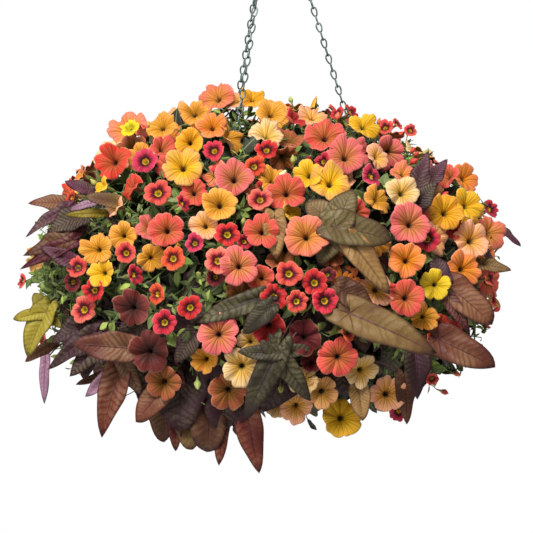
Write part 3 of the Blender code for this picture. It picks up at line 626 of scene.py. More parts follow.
def bezier(first, second, third, fourth, count):
    """Smooth paths from first to fourth, each (paths, 3), as (paths, count, 3)."""
    t = np.linspace(0, 1, count)[None, :, None]
    first, second, third, fourth = (np.asarray(corner, float)[:, None, :]
                                    for corner in (first, second, third, fourth))
    return ((1 - t) ** 3 * first + 3 * (1 - t) ** 2 * t * second
            + 3 * (1 - t) * t * t * third + t ** 3 * fourth)


def main_stem(corners):
    """Out of the soil, up and over the rim, and on to the middle of the shoot's own growth."""
    rooted = corners[(np.hypot(corners[:, 0], corners[:, 1]) < 0.125) & (corners[:, 2] > RIM_CENTRE.z - 0.03)]
    root = rooted[np.argsort(rooted[:, 2])[:4]].mean(0)
    heading = unit((corners.mean(0) - MOUND_CENTRE) / MOUND)
    end = MOUND_CENTRE + heading * (MOUND - 0.060)
    outward = unit(np.array([heading[0], heading[1], 0.0]))
    low = heading[2] < -0.09
    first = root + np.array([0, 0, 0.12 if low else 0.075]) + 0.015 * outward
    second = end + np.array([0, 0, 0.13 if low else 0.05]) + 0.02 * outward
    return bezier([root], [first], [second], [end], STEM_ROWS)[0]


main_stems = {name: main_stem(corners) for name, corners in shoot_corners.items()}


def nearest_shoots(kind, places):
    """Name of the shoot of a kind whose own growth comes nearest to each place."""
    names = [name for name in shoot_corners if name.startswith(kind)]
    away = [np.linalg.norm(places[:, None] - shoot_corners[name][None], axis=2).min(1) for name in names]
    return np.array(names)[np.argmin(away, axis=0)]


STALK_ROWS = 14
stalks = {name: [] for name in shoot_corners}        # (path, girth, colour) of every stem and stalk


def add_stalks(owners, ends, arriving, girths, colour):
    """A stalk to each end from the nearest part of its shoot's outer stem. Returns the paths."""
    stem = np.stack([main_stems[name] for name in owners])
    stem_part = stem[:, STEM_ROWS // 2:]
    nearest = np.argmin(np.linalg.norm(stem_part - ends[:, None], axis=2), axis=1)
    starts = stem_part[np.arange(len(ends)), nearest]
    reach = np.linalg.norm(ends - starts, axis=1, keepdims=True)
    outward = mound_normal(starts)
    paths = bezier(starts, starts + 0.35 * reach * outward, ends - 0.35 * reach * unit(arriving), ends,
                   STALK_ROWS)
    taper = np.linspace(1.3, 0.9, STALK_ROWS)
    for owner, path, girth in zip(owners, paths, girths):
        stalks[owner].append((path, girth * taper, colour))
    return paths


# ---- Petunias ---------------------------------------------------------------------------------
# Soft trumpets of five fused petals, 45 to 50 mm across, with pleated, ruffled edges and a dark
# throat. Each grows on its own stalk out of a green five-pointed calyx.

BLOOM_AROUND = 50
LIMB_ROWS = 11
TUBE_ROWS = 3
PETAL_THICK = 0.0005
MOUTH = 0.12                                         # the throat's radius as a share of the bloom's
TUBE_FOOT = 0.065
# waves round a limb: how many, and how far they lift the limb and draw its outline
LIMB_WAVES = ((1, 0.06, 0.03), (2, 0.11, 0.06), (3, 0.09, 0.05), (5, 0.06, 0.025), (7, 0.05, 0.03),
              (11, 0.035, 0.018), (17, 0.022, 0.010))


def bloom_shape():
    """Face pattern, petal map and bake map of one bloom, from the tube's inside over the rim and back."""
    rows = 2 * (LIMB_ROWS + TUBE_ROWS)
    faces = tube_faces(rows, BLOOM_AROUND)
    inner = np.concatenate([np.linspace(0, 0.17, TUBE_ROWS), np.linspace(0.22, 1, LIMB_ROWS)])
    reach = np.concatenate([inner, inner[::-1]])
    bake_map = wrap_map(faces, BLOOM_AROUND, rows)
    petal_map = bake_map.copy()
    petal_map[:, 1] = reach[np.round(bake_map[:, 1] * (rows - 1)).astype(int)]
    outside = np.repeat(np.arange(rows) >= rows // 2, BLOOM_AROUND).astype(float)
    return faces, petal_map, bake_map, outside


BLOOM_FACES, PETAL_MAP, BLOOM_BAKE_MAP, BLOOM_OUTSIDE = bloom_shape()


def bloom_points(centres, facings, radii, closing, notch, ruffle, throat_depth, chance):
    """Points of many blooms at once. closing folds the limb forwards, from 0 open to 1 a bud.

    The trumpet is a bloom's radius long. On its inner side it ends in a throat of throat_depth.
    """
    count = len(centres)
    facings = unit(facings)
    hint = np.where(np.abs(facings[:, 2:3]) < 0.9, np.array([[0, 0, 1.0]]), np.array([[0, 1.0, 0]]))
    side = unit(np.cross(hint, facings))
    up = np.cross(side, facings)
    spin = chance.uniform(0, 2 * np.pi, count)[:, None]
    side, up = np.cos(spin) * side + np.sin(spin) * up, np.cos(spin) * up - np.sin(spin) * side

    theta = 2 * np.pi * np.arange(BLOOM_AROUND) / BLOOM_AROUND
    from_mid = np.abs(((5 * theta / (2 * np.pi)) % 1) - 0.5) * 2         # 0 mid petal, 1 between petals
    waves = np.zeros((count, BLOOM_AROUND))
    outline = np.ones((count, BLOOM_AROUND))
    for lobes, height, edge in LIMB_WAVES:
        phase = chance.uniform(0, 2 * np.pi, (count, 1))
        size = chance.uniform(0.3, 1.0, (count, 1))
        waves += height * size * np.cos(lobes * theta + phase)
        outline += edge * size * np.cos(lobes * theta + 2 * phase)
    outline -= notch[:, None] * from_mid ** 4 + 0.03 * (1 - from_mid) ** 6

    t = np.linspace(0, 1, LIMB_ROWS)
    slope = np.radians(66) * (1 - t) ** 1.15 - np.radians(20) * t ** 2
    slope = slope[None, :] + closing[:, None] * np.radians(72) * (0.35 + 0.65 * t)
    slope = np.minimum(slope, np.radians(86))
    middle = (slope[:, 1:] + slope[:, :-1]) / 2
    step = (1 - MOUTH) / np.cos(middle).sum(1)[:, None] * (1 - 0.55 * closing[:, None])
    out = np.concatenate([np.zeros((count, 1)), np.cumsum(np.cos(middle), axis=1)], axis=1) * step
    rise = np.concatenate([np.zeros((count, 1)), np.cumsum(np.sin(middle), axis=1)], axis=1) * step
    rim_rise = rise[:, -1:] * (1 - 0.6 * closing[:, None])
    limb_out = MOUTH + out[:, :, None] * outline[:, None, :]
    limb_rise = rise[:, :, None] * outline[:, None, :] - rim_rise[:, :, None]
    pleat = -0.055 * np.exp(-(from_mid / 0.16) ** 2) + 0.040 * np.cos(np.pi * from_mid) - 0.07 * from_mid ** 6
    open_share = 1 - 0.7 * closing[:, None, None]
    limb_rise += open_share * ruffle[:, None, None] * (t ** 1.6)[None, :, None] * waves[:, None, :]
    limb_rise += open_share * np.sin(np.pi * np.minimum(1, t * 0.75 + 0.12))[None, :, None] * pleat

    tube_t = np.linspace(0, 1, TUBE_ROWS + 1)[:-1]
    tube_out = np.broadcast_to((TUBE_FOOT + (MOUTH - TUBE_FOOT) * tube_t ** 1.6)[None, :, None],
                               (count, TUBE_ROWS, BLOOM_AROUND))
    tube_rise = -rim_rise[:, :, None] - (1 - tube_t)[None, :, None] + 0 * tube_out
    throat_rise = -rim_rise[:, :, None] - (throat_depth * (1 - tube_t))[None, :, None] + 0 * tube_out
    profile_out = np.concatenate([tube_out, limb_out], axis=1)
    profile_rise = np.concatenate([tube_rise, limb_rise], axis=1)
    front_rise = np.concatenate([throat_rise, limb_rise], axis=1)
    tube_slope = np.full((count, TUBE_ROWS), np.radians(84))
    all_slope = np.concatenate([tube_slope, slope], axis=1)[:, :, None]
    thick = (PETAL_THICK / radii)[:, None, None]
    back_out = profile_out + thick * np.sin(all_slope)
    back_rise = profile_rise - thick * np.cos(all_slope)
    rows_out = np.concatenate([profile_out, back_out[:, ::-1]], axis=1) * radii[:, None, None]
    rows_rise = np.concatenate([front_rise, back_rise[:, ::-1]], axis=1) * radii[:, None, None]
    rows_rise[:, -1] -= 0.0008
    radial = np.cos(theta)[None, :, None] * side[:, None, :] + np.sin(theta)[None, :, None] * up[:, None, :]
    points = (centres[:, None, None, :] + rows_out[..., None] * radial[:, None]
              + rows_rise[..., None] * facings[:, None, None, :])
    return points.reshape(count, -1, 3)


def petal_material(name, veins, vein_depth, throat_ends, throat_depth, eye):
    """Velvety petal: pleats and branching veins run out from the throat, paler on the outside."""
    n = Nodes(name, 0.62)
    n.shader.inputs["Sheen Weight"].default_value = 0.06
    n.shader.inputs["Sheen Roughness"].default_value = 0.5
    n.shader.inputs["Specular IOR Level"].default_value = 0.25
    turn, reach = n.flat_map("petal")
    drift = n.math("MULTIPLY_ADD", n.noise(200, 2), 1.1, -0.55)
    mottle = n.noise(420, 4)
    cloud = n.noise(60, 3)

    spread = n.math("MULTIPLY_ADD", cloud, 0.50, reach)
    colour = n.mix(n.band(spread, 0.72, 1.20), n.layer("heart_colour"), n.layer("edge_colour"))
    wave = n.math("MULTIPLY", turn, 2 * math.pi * 5)
    mid_petal = n.math("POWER", n.math("MULTIPLY_ADD", n.math("COSINE", wave), -0.5, 0.5), 12.0)
    fine_turn = n.math("MULTIPLY_ADD", turn, math.pi * veins, drift)
    fine = n.math("POWER", n.math("ABSOLUTE", n.math("COSINE", fine_turn)), 4.0)
    finer_turn = n.math("MULTIPLY_ADD", turn, 2 * math.pi * veins, drift)
    finer = n.math("POWER", n.math("ABSOLUTE", n.math("COSINE", finer_turn)), 5.0)
    lines = n.math("ADD", n.math("MULTIPLY", fine, n.band(reach, 1.15, 0.30)),
                   n.math("MULTIPLY", n.math("MULTIPLY", finer, 0.5), n.band(reach, 0.45, 0.75)))
    lines = n.math("MAXIMUM", lines, n.math("MULTIPLY", mid_petal, n.band(reach, 1.0, 0.5)))
    lines = n.math("MULTIPLY", lines, vein_depth, clamp=True)
    colour = n.mix(lines, colour, n.layer("vein_colour"))
    throat = n.math("MULTIPLY_ADD", n.math("ADD", mid_petal, cloud), -0.10, reach)
    dark = n.math("MULTIPLY", n.band(throat, throat_ends, throat_ends - 0.24), throat_depth)
    colour = n.mix(dark, colour, n.layer("throat_colour"))
    if eye:
        colour = n.mix(n.band(reach, 0.43, 0.37), colour, n.layer("eye_colour"))
        centre = n.band(n.math("MULTIPLY_ADD", mottle, 0.10, reach), 0.34, 0.22)
        colour = n.mix(centre, colour, paint("6d6a1a"))
    rim = n.band(n.math("MULTIPLY_ADD", cloud, 0.12, reach), 0.98, 1.08)
    colour = n.mix(n.math("MULTIPLY", rim, 0.20), colour, paint("ffd8b0"))
    colour = n.mix(n.math("MULTIPLY", mottle, 0.10), colour, paint("fff2e0"), "SOFT_LIGHT")
    outside = n.math("MULTIPLY", n.layer("outside", plain=True), 0.38)
    colour = n.mix(outside, colour, n.mix(0.5, n.layer("edge_colour"), paint("e9c9a0")))
    n.bump(n.math("ADD", n.math("MULTIPLY", lines, -0.6), n.math("MULTIPLY", mottle, 0.5)), 0.55, 0.0007)
    return n.finish(colour)


PETUNIA_PETAL = petal_material("petunia_petal", 20, 0.85, 0.34, 0.85, eye=False)

# the rust, brick, wine and tan tones are darkened copies of the brighter ones: painted shade for blooms low on the
# mound and deep in its gaps
# edge, heart, throat and vein colours
PETUNIA_TONES = {
    "salmon": ("f27c64", "de963e", "6a4a1c", "a04a1a"), "coral": ("e45048", "be6832", "54301a", "86301a"),
    "pink": ("e8686a", "c47c44", "563418", "8e3a24"), "tango": ("e63c2c", "b8542a", "4e2410", "86280f"),
    "orange": ("f28648", "dc8c14", "624410", "a2460c"), "amber": ("f0a03e", "d09416", "5e4a12", "945608"),
    "gold": ("f6a426", "e6a60c", "6a5c14", "a8740a"), "butter": ("f2ac54", "f0b616", "6a5c12", "aa7e14"),
    "yellow": ("f6b628", "e4ae08", "6a6610", "a27e08"), "lemon": ("f4cc28", "e8c00e", "70701a", "ac8e12"),
    "cream": ("f2cc94", "e2b650", "5a521c", "a87636"), "peach": ("f6ae88", "ecb450", "6a5420", "b06630"),
    "tan": ("d8985c", "ae7e32", "443a16", "7c521c"), "rust": ("b05a38", "88581a", "362409", "643610"),
    "brick": ("6e2620", "421c14", "1a0a07", "3a120e"), "red": ("d02c2c", "a82420", "340e0e", "6e1418"),
    "wine": ("741c1e", "601619", "1a0607", "420a10"),
}

# Front elevation of the mound: across and up from its centre and diameter, in centimetres, tone,
# where it looks (degrees to the right of the viewer, degrees up), and millimetres behind the surface.
PETUNIAS = [
    (-17.5, 18.3, 4.8, "salmon", -25, 30, 0), (-18.7, 16.8, 4.0, "peach", -30, 12, 12),
    (-19.3, 14.3, 4.7, "tango", -20, 12, 0), (-20.7, 11.2, 2.6, "yellow", -65, 18, 2),
    (-16.9, 11.0, 3.4, "tango", -60, 15, 6), (-13.1, 18.6, 3.9, "amber", -10, 28, 0),
    (-9.0, 20.4, 3.9, "amber", -5, 32, 0), (-11.2, 20.4, 3.2, "peach", -35, 38, 6),
    (-6.8, 18.7, 4.1, "orange", 0, 25, 4), (-6.3, 22.2, 4.4, "salmon", -25, 18, 2),
    (-4.6, 18.8, 4.2, "amber", 62, 20, 6), (-1.6, 22.2, 3.6, "gold", 20, 40, 0),
    (-3.8, 21.9, 3.0, "peach", -25, 41, 8), (0.6, 20.3, 4.0, "amber", 10, 31, 0),
    (0.0, 17.7, 4.6, "cream", 10, 46, 4), (-12.9, 15.9, 3.6, "coral", 35, 25, 8),
    (-9.6, 16.6, 3.8, "gold", 0, 2, 14), (-10.4, 13.6, 4.9, "butter", 5, 18, 0),
    (-4.1, 12.2, 5.0, "pink", 0, 18, 0), (3.6, 19.6, 3.2, "red", 60, 30, 4),
    (5.8, 19.8, 3.6, "peach", 15, 41, 8), (7.3, 17.4, 4.8, "coral", 0, 27, 0),
    (12.2, 18.7, 3.9, "yellow", 15, 31, 0), (9.8, 15.0, 5.0, "pink", 0, 25, 0),
    (13.9, 14.8, 3.2, "peach", 40, 18, 6), (5.1, 12.6, 3.9, "yellow", -20, 18, 4),
    (7.9, 11.6, 4.9, "butter", 0, 20, 0), (9.9, 13.2, 3.4, "peach", 0, 40, 12),
    (2.4, 10.4, 4.8, "coral", -5, 18, 0), (17.0, 10.4, 4.3, "cream", 10, 18, 0),
    (17.0, 12.8, 3.4, "salmon", 10, 39, 8), (21.0, 13.0, 3.0, "coral", 66, 25, 4),
    (22.6, 12.3, 3.0, "coral", -50, 22, 8), (24.9, 12.2, 4.1, "orange", 25, 20, 0),
    (-19.0, 8.6, 3.0, "peach", -60, 15, 0), (-18.0, 4.9, 3.6, "amber", -10, 2, 14),
    (-21.2, 3.3, 4.1, "amber", -15, 12, 0), (-20.6, 0.3, 4.0, "yellow", -20, 6, 3),
    (-12.6, 5.7, 4.8, "coral", -5, 12, 0), (-5.9, 8.9, 4.7, "amber", 0, 15, 0),
    (-7.8, 6.2, 4.0, "peach", -10, 10, 12), (-3.5, 1.2, 4.7, "pink", 0, 12, 0),
    (-0.6, 5.5, 4.3, "coral", 0, 16, 0), (3.2, 8.1, 3.5, "yellow", 58, 15, 6),
    (5.0, 4.9, 5.3, "salmon", 0, 14, 0), (14.0, 9.4, 3.8, "amber", 48, 18, 2),
    (18.0, 6.5, 5.0, "pink", 5, 16, 0), (17.5, 1.9, 4.5, "orange", 0, 12, 0),
    (17.4, -2.8, 4.5, "coral", 0, 12, 0), (22.4, 7.9, 4.4, "gold", 10, 18, 3),
    (25.2, 8.8, 4.3, "yellow", 25, 18, 0), (28.0, 5.4, 4.6, "salmon", 30, 14, 8),
    (25.7, 4.4, 4.8, "peach", 10, 12, 0), (24.6, 0.8, 4.4, "orange", 15, 11, 0),
    (21.1, -1.2, 3.9, "lemon", 0, 4, 4), (23.2, 6.0, 3.2, "red", 0, 10, 14),
    # the darkened tones in these lower rows paint the shade on blooms low on the mound
    (-16.8, -4.1, 4.5, "brick", -10, 2, 8), (-14.7, -9.6, 5.0, "brick", -5, 4, 2),
    (-6.0, -7.4, 5.0, "pink", 0, 8, 0), (-12.9, -13.5, 4.5, "rust", -5, -6, 2),
    (-3.1, -11.5, 5.0, "cream", 0, 0, -3), (-4.8, -14.5, 4.9, "rust", 0, -2, 4),
    (-7.8, -10.6, 3.8, "amber", -20, -2, 14), (-2.0, -8.3, 3.2, "cream", 0, 10, 14),
    (0.3, -6.5, 4.4, "red", 0, -14, 4), (4.7, -7.8, 4.3, "wine", 0, 6, 10),
    (5.6, -10.9, 2.6, "wine", 0, 10, 16), (8.9, -10.3, 4.8, "coral", 0, 2, 0),
    (11.9, -12.0, 4.2, "cream", 15, -6, 7), (6.9, -14.7, 4.4, "tan", 0, -2, 2),
    (3.6, -16.5, 4.2, "peach", -5, -6, 4), (9.4, -17.8, 5.1, "yellow", 5, 16, 0),
    (15.1, -14.8, 4.9, "peach", 5, 14, 0), (19.7, -5.2, 3.6, "amber", 10, 10, 8),
    (21.8, -6.1, 2.8, "tango", 40, -6, 4), (-23.3, 12.6, 2.4, "orange", -70, 18, 0),
    (1.6, -17.2, 4.0, "cream", -15, -5, 4), (4.6, -13.2, 3.6, "cream", 5, 4, 10),
]
# The calibrachoas of the same elevation, listed here because the petunias leave them room.
CALIBRACHOAS = [
    (-17.1, 18.4, 2.6, "yellow", -20, 25, -6), (-15.2, 14.3, 3.4, "magenta", -10, 18, 0),
    (-6.6, 15.6, 3.0, "crimson", -15, 18, 2), (0.0, 15.7, 3.0, "red", 0, 18, 2),
    (-1.5, 13.6, 2.9, "orange", 10, 10, 2), (10.6, 20.5, 2.5, "red", 55, 32, 0),
    (8.8, 20.3, 2.1, "red", -40, 38, 4), (14.8, 18.5, 2.4, "coral", -20, 28, 0),
    (16.4, 18.9, 1.8, "coral", 50, 28, 2), (18.0, 18.1, 1.8, "coral", 10, 20, 2),
    (7.0, 14.2, 2.4, "crimson", -30, 10, 6), (13.2, 12.4, 3.0, "magenta", 45, 22, 2),
    (-24.5, 9.7, 2.0, "orange", -45, 15, 0), (-17.6, 2.8, 3.0, "coral", -5, 10, 2),
    (-16.4, 0.1, 2.9, "crimson", 62, 10, 2), (-23.7, 1.0, 3.1, "coral", -15, 15, 6),
    (-25.9, 2.3, 1.9, "coral", -50, 15, 2), (-24.3, -0.9, 2.7, "maroon", -20, 2, 8),
    (-21.6, -1.9, 3.1, "red", -10, 6, 0), (-30.6, -0.7, 2.2, "coral", -55, 10, 0),
    (-13.6, 10.3, 3.5, "coral", -5, 12, 0), (-10.4, 9.0, 2.5, "crimson", 65, 18, 4),
    (-11.7, 2.1, 3.2, "orange", -5, 12, 0), (-4.9, 5.1, 3.3, "red", 0, 12, 2),
    (-2.7, 4.2, 2.2, "crimson", 20, 10, 10), (-9.0, 4.0, 2.6, "magenta", -10, 15, 4),
    (-6.1, 1.8, 3.5, "paleedge", -5, 12, -2), (-6.4, -0.3, 2.6, "maroon", 0, -2, 10),
    (-0.8, 9.5, 3.3, "paleedge", 0, 20, -4), (2.8, 0.2, 3.4, "coral", 0, 12, 0),
    (6.0, -0.9, 3.5, "red", 0, 15, 4), (7.7, 0.1, 2.2, "maroon", 20, 20, 8),
    (28.0, 8.3, 2.7, "crimson", 35, 20, 2), (20.1, 4.6, 3.4, "crimson", 0, 15, 2),
    (28.0, -0.4, 2.8, "coral", 66, 12, 0), (28.4, -3.1, 2.0, "red", 60, 6, 0),
    (-22.9, -4.3, 3.5, "paleedge", -15, 10, 0), (-23.2, -6.5, 2.4, "orange", -10, -18, 4),
    (-13.8, -2.4, 2.8, "orange", -45, 6, 0), (-9.6, -4.0, 3.4, "red", -5, 12, 0),
    (-12.8, -5.9, 3.4, "crimson", -5, 10, 0), (-28.0, -8.3, 2.6, "coral", -60, 2, 0),
    (0.9, -2.7, 3.4, "red", 0, 12, 2), (3.8, -3.3, 2.9, "coral", 10, 6, 0),
    (7.3, -3.2, 3.5, "crimson", 5, 10, 0), (10.2, -6.9, 3.6, "orange", 66, 10, 0),
    (16.6, -17.2, 2.8, "magenta", 0, -30, 2), (23.1, -6.9, 2.9, "coral", 20, 6, 0),
    (20.5, -8.2, 2.2, "orange", 68, 6, 2), (20.7, -13.0, 1.8, "coral", 10, -22, 2),
]


def looking(yaw, pitch):
    """Directions from degrees to the viewer's right and degrees up."""
    yaw, pitch = np.radians(yaw), np.radians(pitch)
    return (np.outer(np.sin(yaw) * np.cos(pitch), RIGHT) + np.outer(np.cos(yaw) * np.cos(pitch), TO_VIEWER)
            + np.outer(np.sin(pitch), SCREEN_UP))


def read_elevation(rows):
    """Centres, facings and true radii of the blooms that the front elevation lists."""
    across, up, wide, yaw, pitch, behind = (np.array([row[k] for row in rows], float)
                                           for k in (0, 1, 2, 4, 5, 6))
    centres = on_mound(across * CM, up * CM, 0.002 + behind * MM)
    nearer = ((EYE - centres) @ TO_VIEWER) / VIEW_DISTANCE
    facings = unit(0.88 * looking(yaw, pitch) + 0.12 * mound_normal(centres))
    return centres, facings, 0.5 * wide * CM * nearer, [row[3] for row in rows]


GOLDEN_ANGLE = math.pi * (3 - math.sqrt(5))
UPPER_HIDDEN = 0.40                                  # heights on the mound, from 1 top to -1 bottom
LOWER_HIDDEN = -0.25


def scattered(count, offset, top, bottom, inset):
    """Even places round the whole mound, from one height on it down to another."""
    step = np.arange(count)
    polar = np.arccos(top - (top - bottom) * (step + 0.5) / count)
    return mound_place(polar, step * GOLDEN_ANGLE + offset, np.broadcast_to(inset, count))


def scatter_hidden(total, offset, top, bottom, inset, turned_away):
    """Even places over the sides, the back and the underside, where no elevation is drawn."""
    step = np.arange(total)
    polar = np.arccos(top - (top - bottom) * (step + 0.5) / total)
    height = np.cos(polar)
    upper, lower = height > UPPER_HIDDEN, height < LOWER_HIDDEN
    places = mound_place(polar, step * GOLDEN_ANGLE + offset, np.where(upper, inset + 0.012, inset))
    limit = np.where(upper, FACES_VIEWER, np.where(lower, -0.45, -turned_away))
    return places[towards_viewer(places) < limit]


def scatter_between(count, offset, inset):
    """Even places over the upper front, for blooms deeper down in the gaps of the elevation."""
    places = scattered(count, offset, 1.0, 0.0, inset)
    away = places - MOUND_CENTRE
    before_chain = (away @ SCREEN_UP > 0.135) & (np.abs(away[:, 0] + 0.030) < 0.028)
    return places[seen_by_viewer(places) & (away[:, 0] > -0.19) & ~before_chain]


def settle(centres, radii, movable, share):
    """Push each movable bloom inwards until it clears the blooms listed before it."""
    for i in np.flatnonzero(movable):
        inward = -mound_normal(centres[i][None])[0]
        for _ in range(6):
            gaps = np.linalg.norm(centres[:i] - centres[i], axis=1) - share * (radii[:i] + radii[i])
            if not len(gaps) or gaps.min() > 0:
                break
            centres[i] = centres[i] + 0.005 * inward
    return centres


def keep_apart(places, radii, taken, taken_radii, share):
    """Which places stay far enough from the ones already taken and from each other."""
    kept = []
    for i, place in enumerate(places):
        near = np.linalg.norm(taken - place, axis=1) < share * (taken_radii + radii[i])
        if near.any():
            continue
        kept.append(i)
        taken = np.vstack([taken, place])
        taken_radii = np.append(taken_radii, radii[i])
    return np.array(kept, int)


CHAIN_ROOM = 0.012                                   # vine leaves and buds keep this far from a chain,
                                                     # and small leaves half as far


def chain_distance(places):
    """How far each place is from the nearest chain's straight line."""
    nearest = np.full(len(places), 1.0)
    for place, offset in CHAINS.values():
        azimuth = CHAIN_TURN + 2 * math.pi * place / 3
        foot = np.array(RIM_CENTRE) + RIM_RADIUS * np.array([math.cos(azimuth), math.sin(azimuth), 0])
        top = RING_CENTRE + np.array([0, offset, 0])
        line = unit(foot - top)
        away = places - top
        nearest = np.minimum(nearest, np.linalg.norm(away - np.outer(away @ line, line), axis=1))
    return nearest


petunia_centres, petunia_facings, petunia_radii, petunia_tones = read_elevation(PETUNIAS)
petunia_radii = 1.08 * petunia_radii                 # the lobes open a little past the listed ring
front_petunias = len(petunia_centres)
hidden = scatter_hidden(250, 0.0, 0.99, -0.72, 0.004, 0.22)
hidden_radii = chance.uniform(0.021, 0.025, len(hidden))
apart = keep_apart(hidden, hidden_radii, petunia_centres, petunia_radii, 0.80)
hidden, hidden_radii = hidden[apart], hidden_radii[apart]
apart = chain_distance(hidden) > hidden_radii
hidden, hidden_radii = hidden[apart], hidden_radii[apart]
hidden_facings = unit(mound_normal(hidden) + chance.normal(0, 0.30, hidden.shape) + np.array([0, 0, 0.15]))
petunia_centres = np.vstack([petunia_centres, hidden])
petunia_facings = np.vstack([petunia_facings, hidden_facings])
petunia_radii = np.append(petunia_radii, hidden_radii)
# tan among these is cream darkened as painted shade
tone_choice = ["coral", "pink", "salmon", "amber", "orange", "yellow", "gold", "peach", "cream", "tango",
               "red", "tan"]
petunia_tones += [str(tone) for tone in chance.choice(tone_choice, len(hidden))]

between = scatter_between(360, 0.2, 0.021)
between_radii = chance.uniform(0.017, 0.022, len(between))
listed = read_elevation(CALIBRACHOAS)
apart = keep_apart(between, between_radii, np.vstack([petunia_centres, listed[0]]),
                   np.append(petunia_radii, listed[2]), 0.79)
apart = apart[chain_distance(between[apart]) > between_radii[apart]]
between, between_radii = between[apart], between_radii[apart]
petunia_centres = np.vstack([petunia_centres, between])
between_facings = 0.6 * mound_normal(between) + 0.8 * TO_VIEWER + chance.normal(0, 0.35, between.shape)
petunia_facings = np.vstack([petunia_facings, unit(between_facings)])
petunia_radii = np.append(petunia_radii, between_radii)
# rust among these paints the shade on blooms sunk deep in the gaps
tone_choice = ["coral", "pink", "salmon", "orange", "peach", "rust", "amber"]
petunia_tones += [str(tone) for tone in chance.choice(tone_choice, len(between))]

# ---- Calibrachoas -----------------------------------------------------------------------------
# Smaller cousins of the petunias, 25 to 35 mm across: five flat lobes, a yellow eye and a darker
# star round it, in reds, crimson and orange-red. They stand on thin stalks between the petunias.

CALIBRACHOA_PETAL = petal_material("calibrachoa_petal", 20, 0.85, 0.70, 1.0, eye=True)
# edge, heart, throat (the star), vein and eye colours
CALIBRACHOA_TONES = {
    "red": ("d22c28", "ae1624", "440a14", "860e1c", "dcb014"),
    "crimson": ("d63044", "ae1228", "3e0816", "80081c", "d8a412"),
    "magenta": ("d23658", "b41c38", "440c1c", "84102a", "d4a014"),
    "coral": ("e65c46", "c4283a", "520c1a", "9c1828", "d8b01a"),
    "paleedge": ("ee7860", "d4283a", "540c1a", "9c1424", "d4a81a"),
    "orange": ("e85a2a", "d23424", "5c1210", "a82818", "dcb21e"),
    # maroon is the red tone darkened, eye and all: painted shade for calibrachoas set deep in the gaps
    "maroon": ("74181e", "64121c", "22060c", "44080f", "a87e12"),
    "yellow": ("f2cc14", "e8bc08", "a8a014", "c0ac14", "d8c012"),
}
calibrachoa_centres, calibrachoa_facings, calibrachoa_radii, calibrachoa_tones = read_elevation(CALIBRACHOAS)
front_calibrachoas = len(calibrachoa_centres)
hidden = scatter_hidden(210, 0.37, 0.99, -0.70, 0.002, 0.22)
hidden_radii = chance.uniform(0.013, 0.017, len(hidden))
apart = keep_apart(hidden, hidden_radii, np.vstack([petunia_centres, calibrachoa_centres]),
                   np.append(petunia_radii, calibrachoa_radii), 0.72)
hidden, hidden_radii = hidden[apart], hidden_radii[apart]
apart = chain_distance(hidden) > hidden_radii
hidden, hidden_radii = hidden[apart], hidden_radii[apart]
calibrachoa_centres = np.vstack([calibrachoa_centres, hidden])
calibrachoa_facings = np.vstack([calibrachoa_facings, unit(
    mound_normal(hidden) + chance.normal(0, 0.35, hidden.shape) + np.array([0, 0, 0.15]))])
calibrachoa_radii = np.append(calibrachoa_radii, hidden_radii)
tone_choice = ["red", "crimson", "magenta", "coral", "paleedge", "orange"]
calibrachoa_tones += [str(tone) for tone in chance.choice(tone_choice, len(hidden))]

# blooms listed nearer than the surface stay; the rest draw back until they clear their neighbours
all_centres = np.vstack([petunia_centres, calibrachoa_centres])
all_facings = np.vstack([petunia_facings, calibrachoa_facings])
all_radii = np.append(petunia_radii, calibrachoa_radii)
in_front = [row[6] < 0 for row in PETUNIAS] + [False] * (len(petunia_centres) - front_petunias)
in_front += [row[6] < 0 for row in CALIBRACHOAS]
in_front += [False] * (len(calibrachoa_centres) - front_calibrachoas)
all_centres = settle(all_centres, all_radii, ~np.array(in_front), 0.60)
petunia_centres, calibrachoa_centres = np.split(all_centres, [len(petunia_centres)])

STEM_GREEN = paint("6f8a45")[:3]


def tint(codes, chance, spread):
    """Linear colours of hex codes, each a little lighter or darker than the next."""
    colours = np.array([paint(code)[:3] for code in codes])
    return np.clip(colours * np.exp(chance.normal(0, spread, (len(codes), 1))), 0, 1)


def make_blooms(kind, centres, facings, radii, shape, tones, tone_table, parts, material):
    """Blooms of one kind, gathered into one piece for each shoot. shape is what bloom_points takes."""
    owners = nearest_shoots(kind, centres)
    points = bloom_points(centres, facings, radii, *shape, chance)
    colours = {part: tint([tone_table[tone][k] for tone in tones], chance, 0.07)
               for k, part in enumerate(parts)}
    for owner in sorted(set(owners)):
        mine = owners == owner
        layers = {f"{part}_colour": values[mine] for part, values in colours.items()}
        layers["outside"] = BLOOM_OUTSIDE
        make_piece(f"{owner}_blooms", points[mine], BLOOM_FACES, material,
                   {"petal": (PETAL_MAP, False), "OFBake": (BLOOM_BAKE_MAP, True)}, layers)
    tube_ends = centres - facings * (1.45 * radii[:, None])
    add_stalks(owners, tube_ends, facings, 0.00035 + 0.030 * radii, STEM_GREEN)
    return owners


count = len(petunia_centres)
petunia_shape = (np.clip(chance.uniform(-0.08, 0.26, count), 0, 1),
                 chance.uniform(0.12, 0.30, count), chance.uniform(1.2, 2.3, count), 0.35)
petunia_owners = make_blooms("petunia_shoot", petunia_centres, petunia_facings, petunia_radii, petunia_shape,
                             petunia_tones, PETUNIA_TONES, ("edge", "heart", "throat", "vein"), PETUNIA_PETAL)
count = len(calibrachoa_centres)
calibrachoa_shape = (np.clip(chance.uniform(-0.10, 0.20, count), 0, 1),
                     chance.uniform(0.12, 0.26, count), chance.uniform(0.8, 1.5, count), 0.06)
calibrachoa_owners = make_blooms(
    "calibrachoa_shoot", calibrachoa_centres, calibrachoa_facings, calibrachoa_radii, calibrachoa_shape,
    calibrachoa_tones, CALIBRACHOA_TONES, ("edge", "heart", "throat", "vein", "eye"), CALIBRACHOA_PETAL)

# ---- Green leaves and sepals -------------------------------------------------------------------
# Petunia leaves are soft, oval and grey-green; calibrachoa leaves are small and narrow. They grow
# in turns round short side shoots, and five green sepals hold the foot of every bloom.

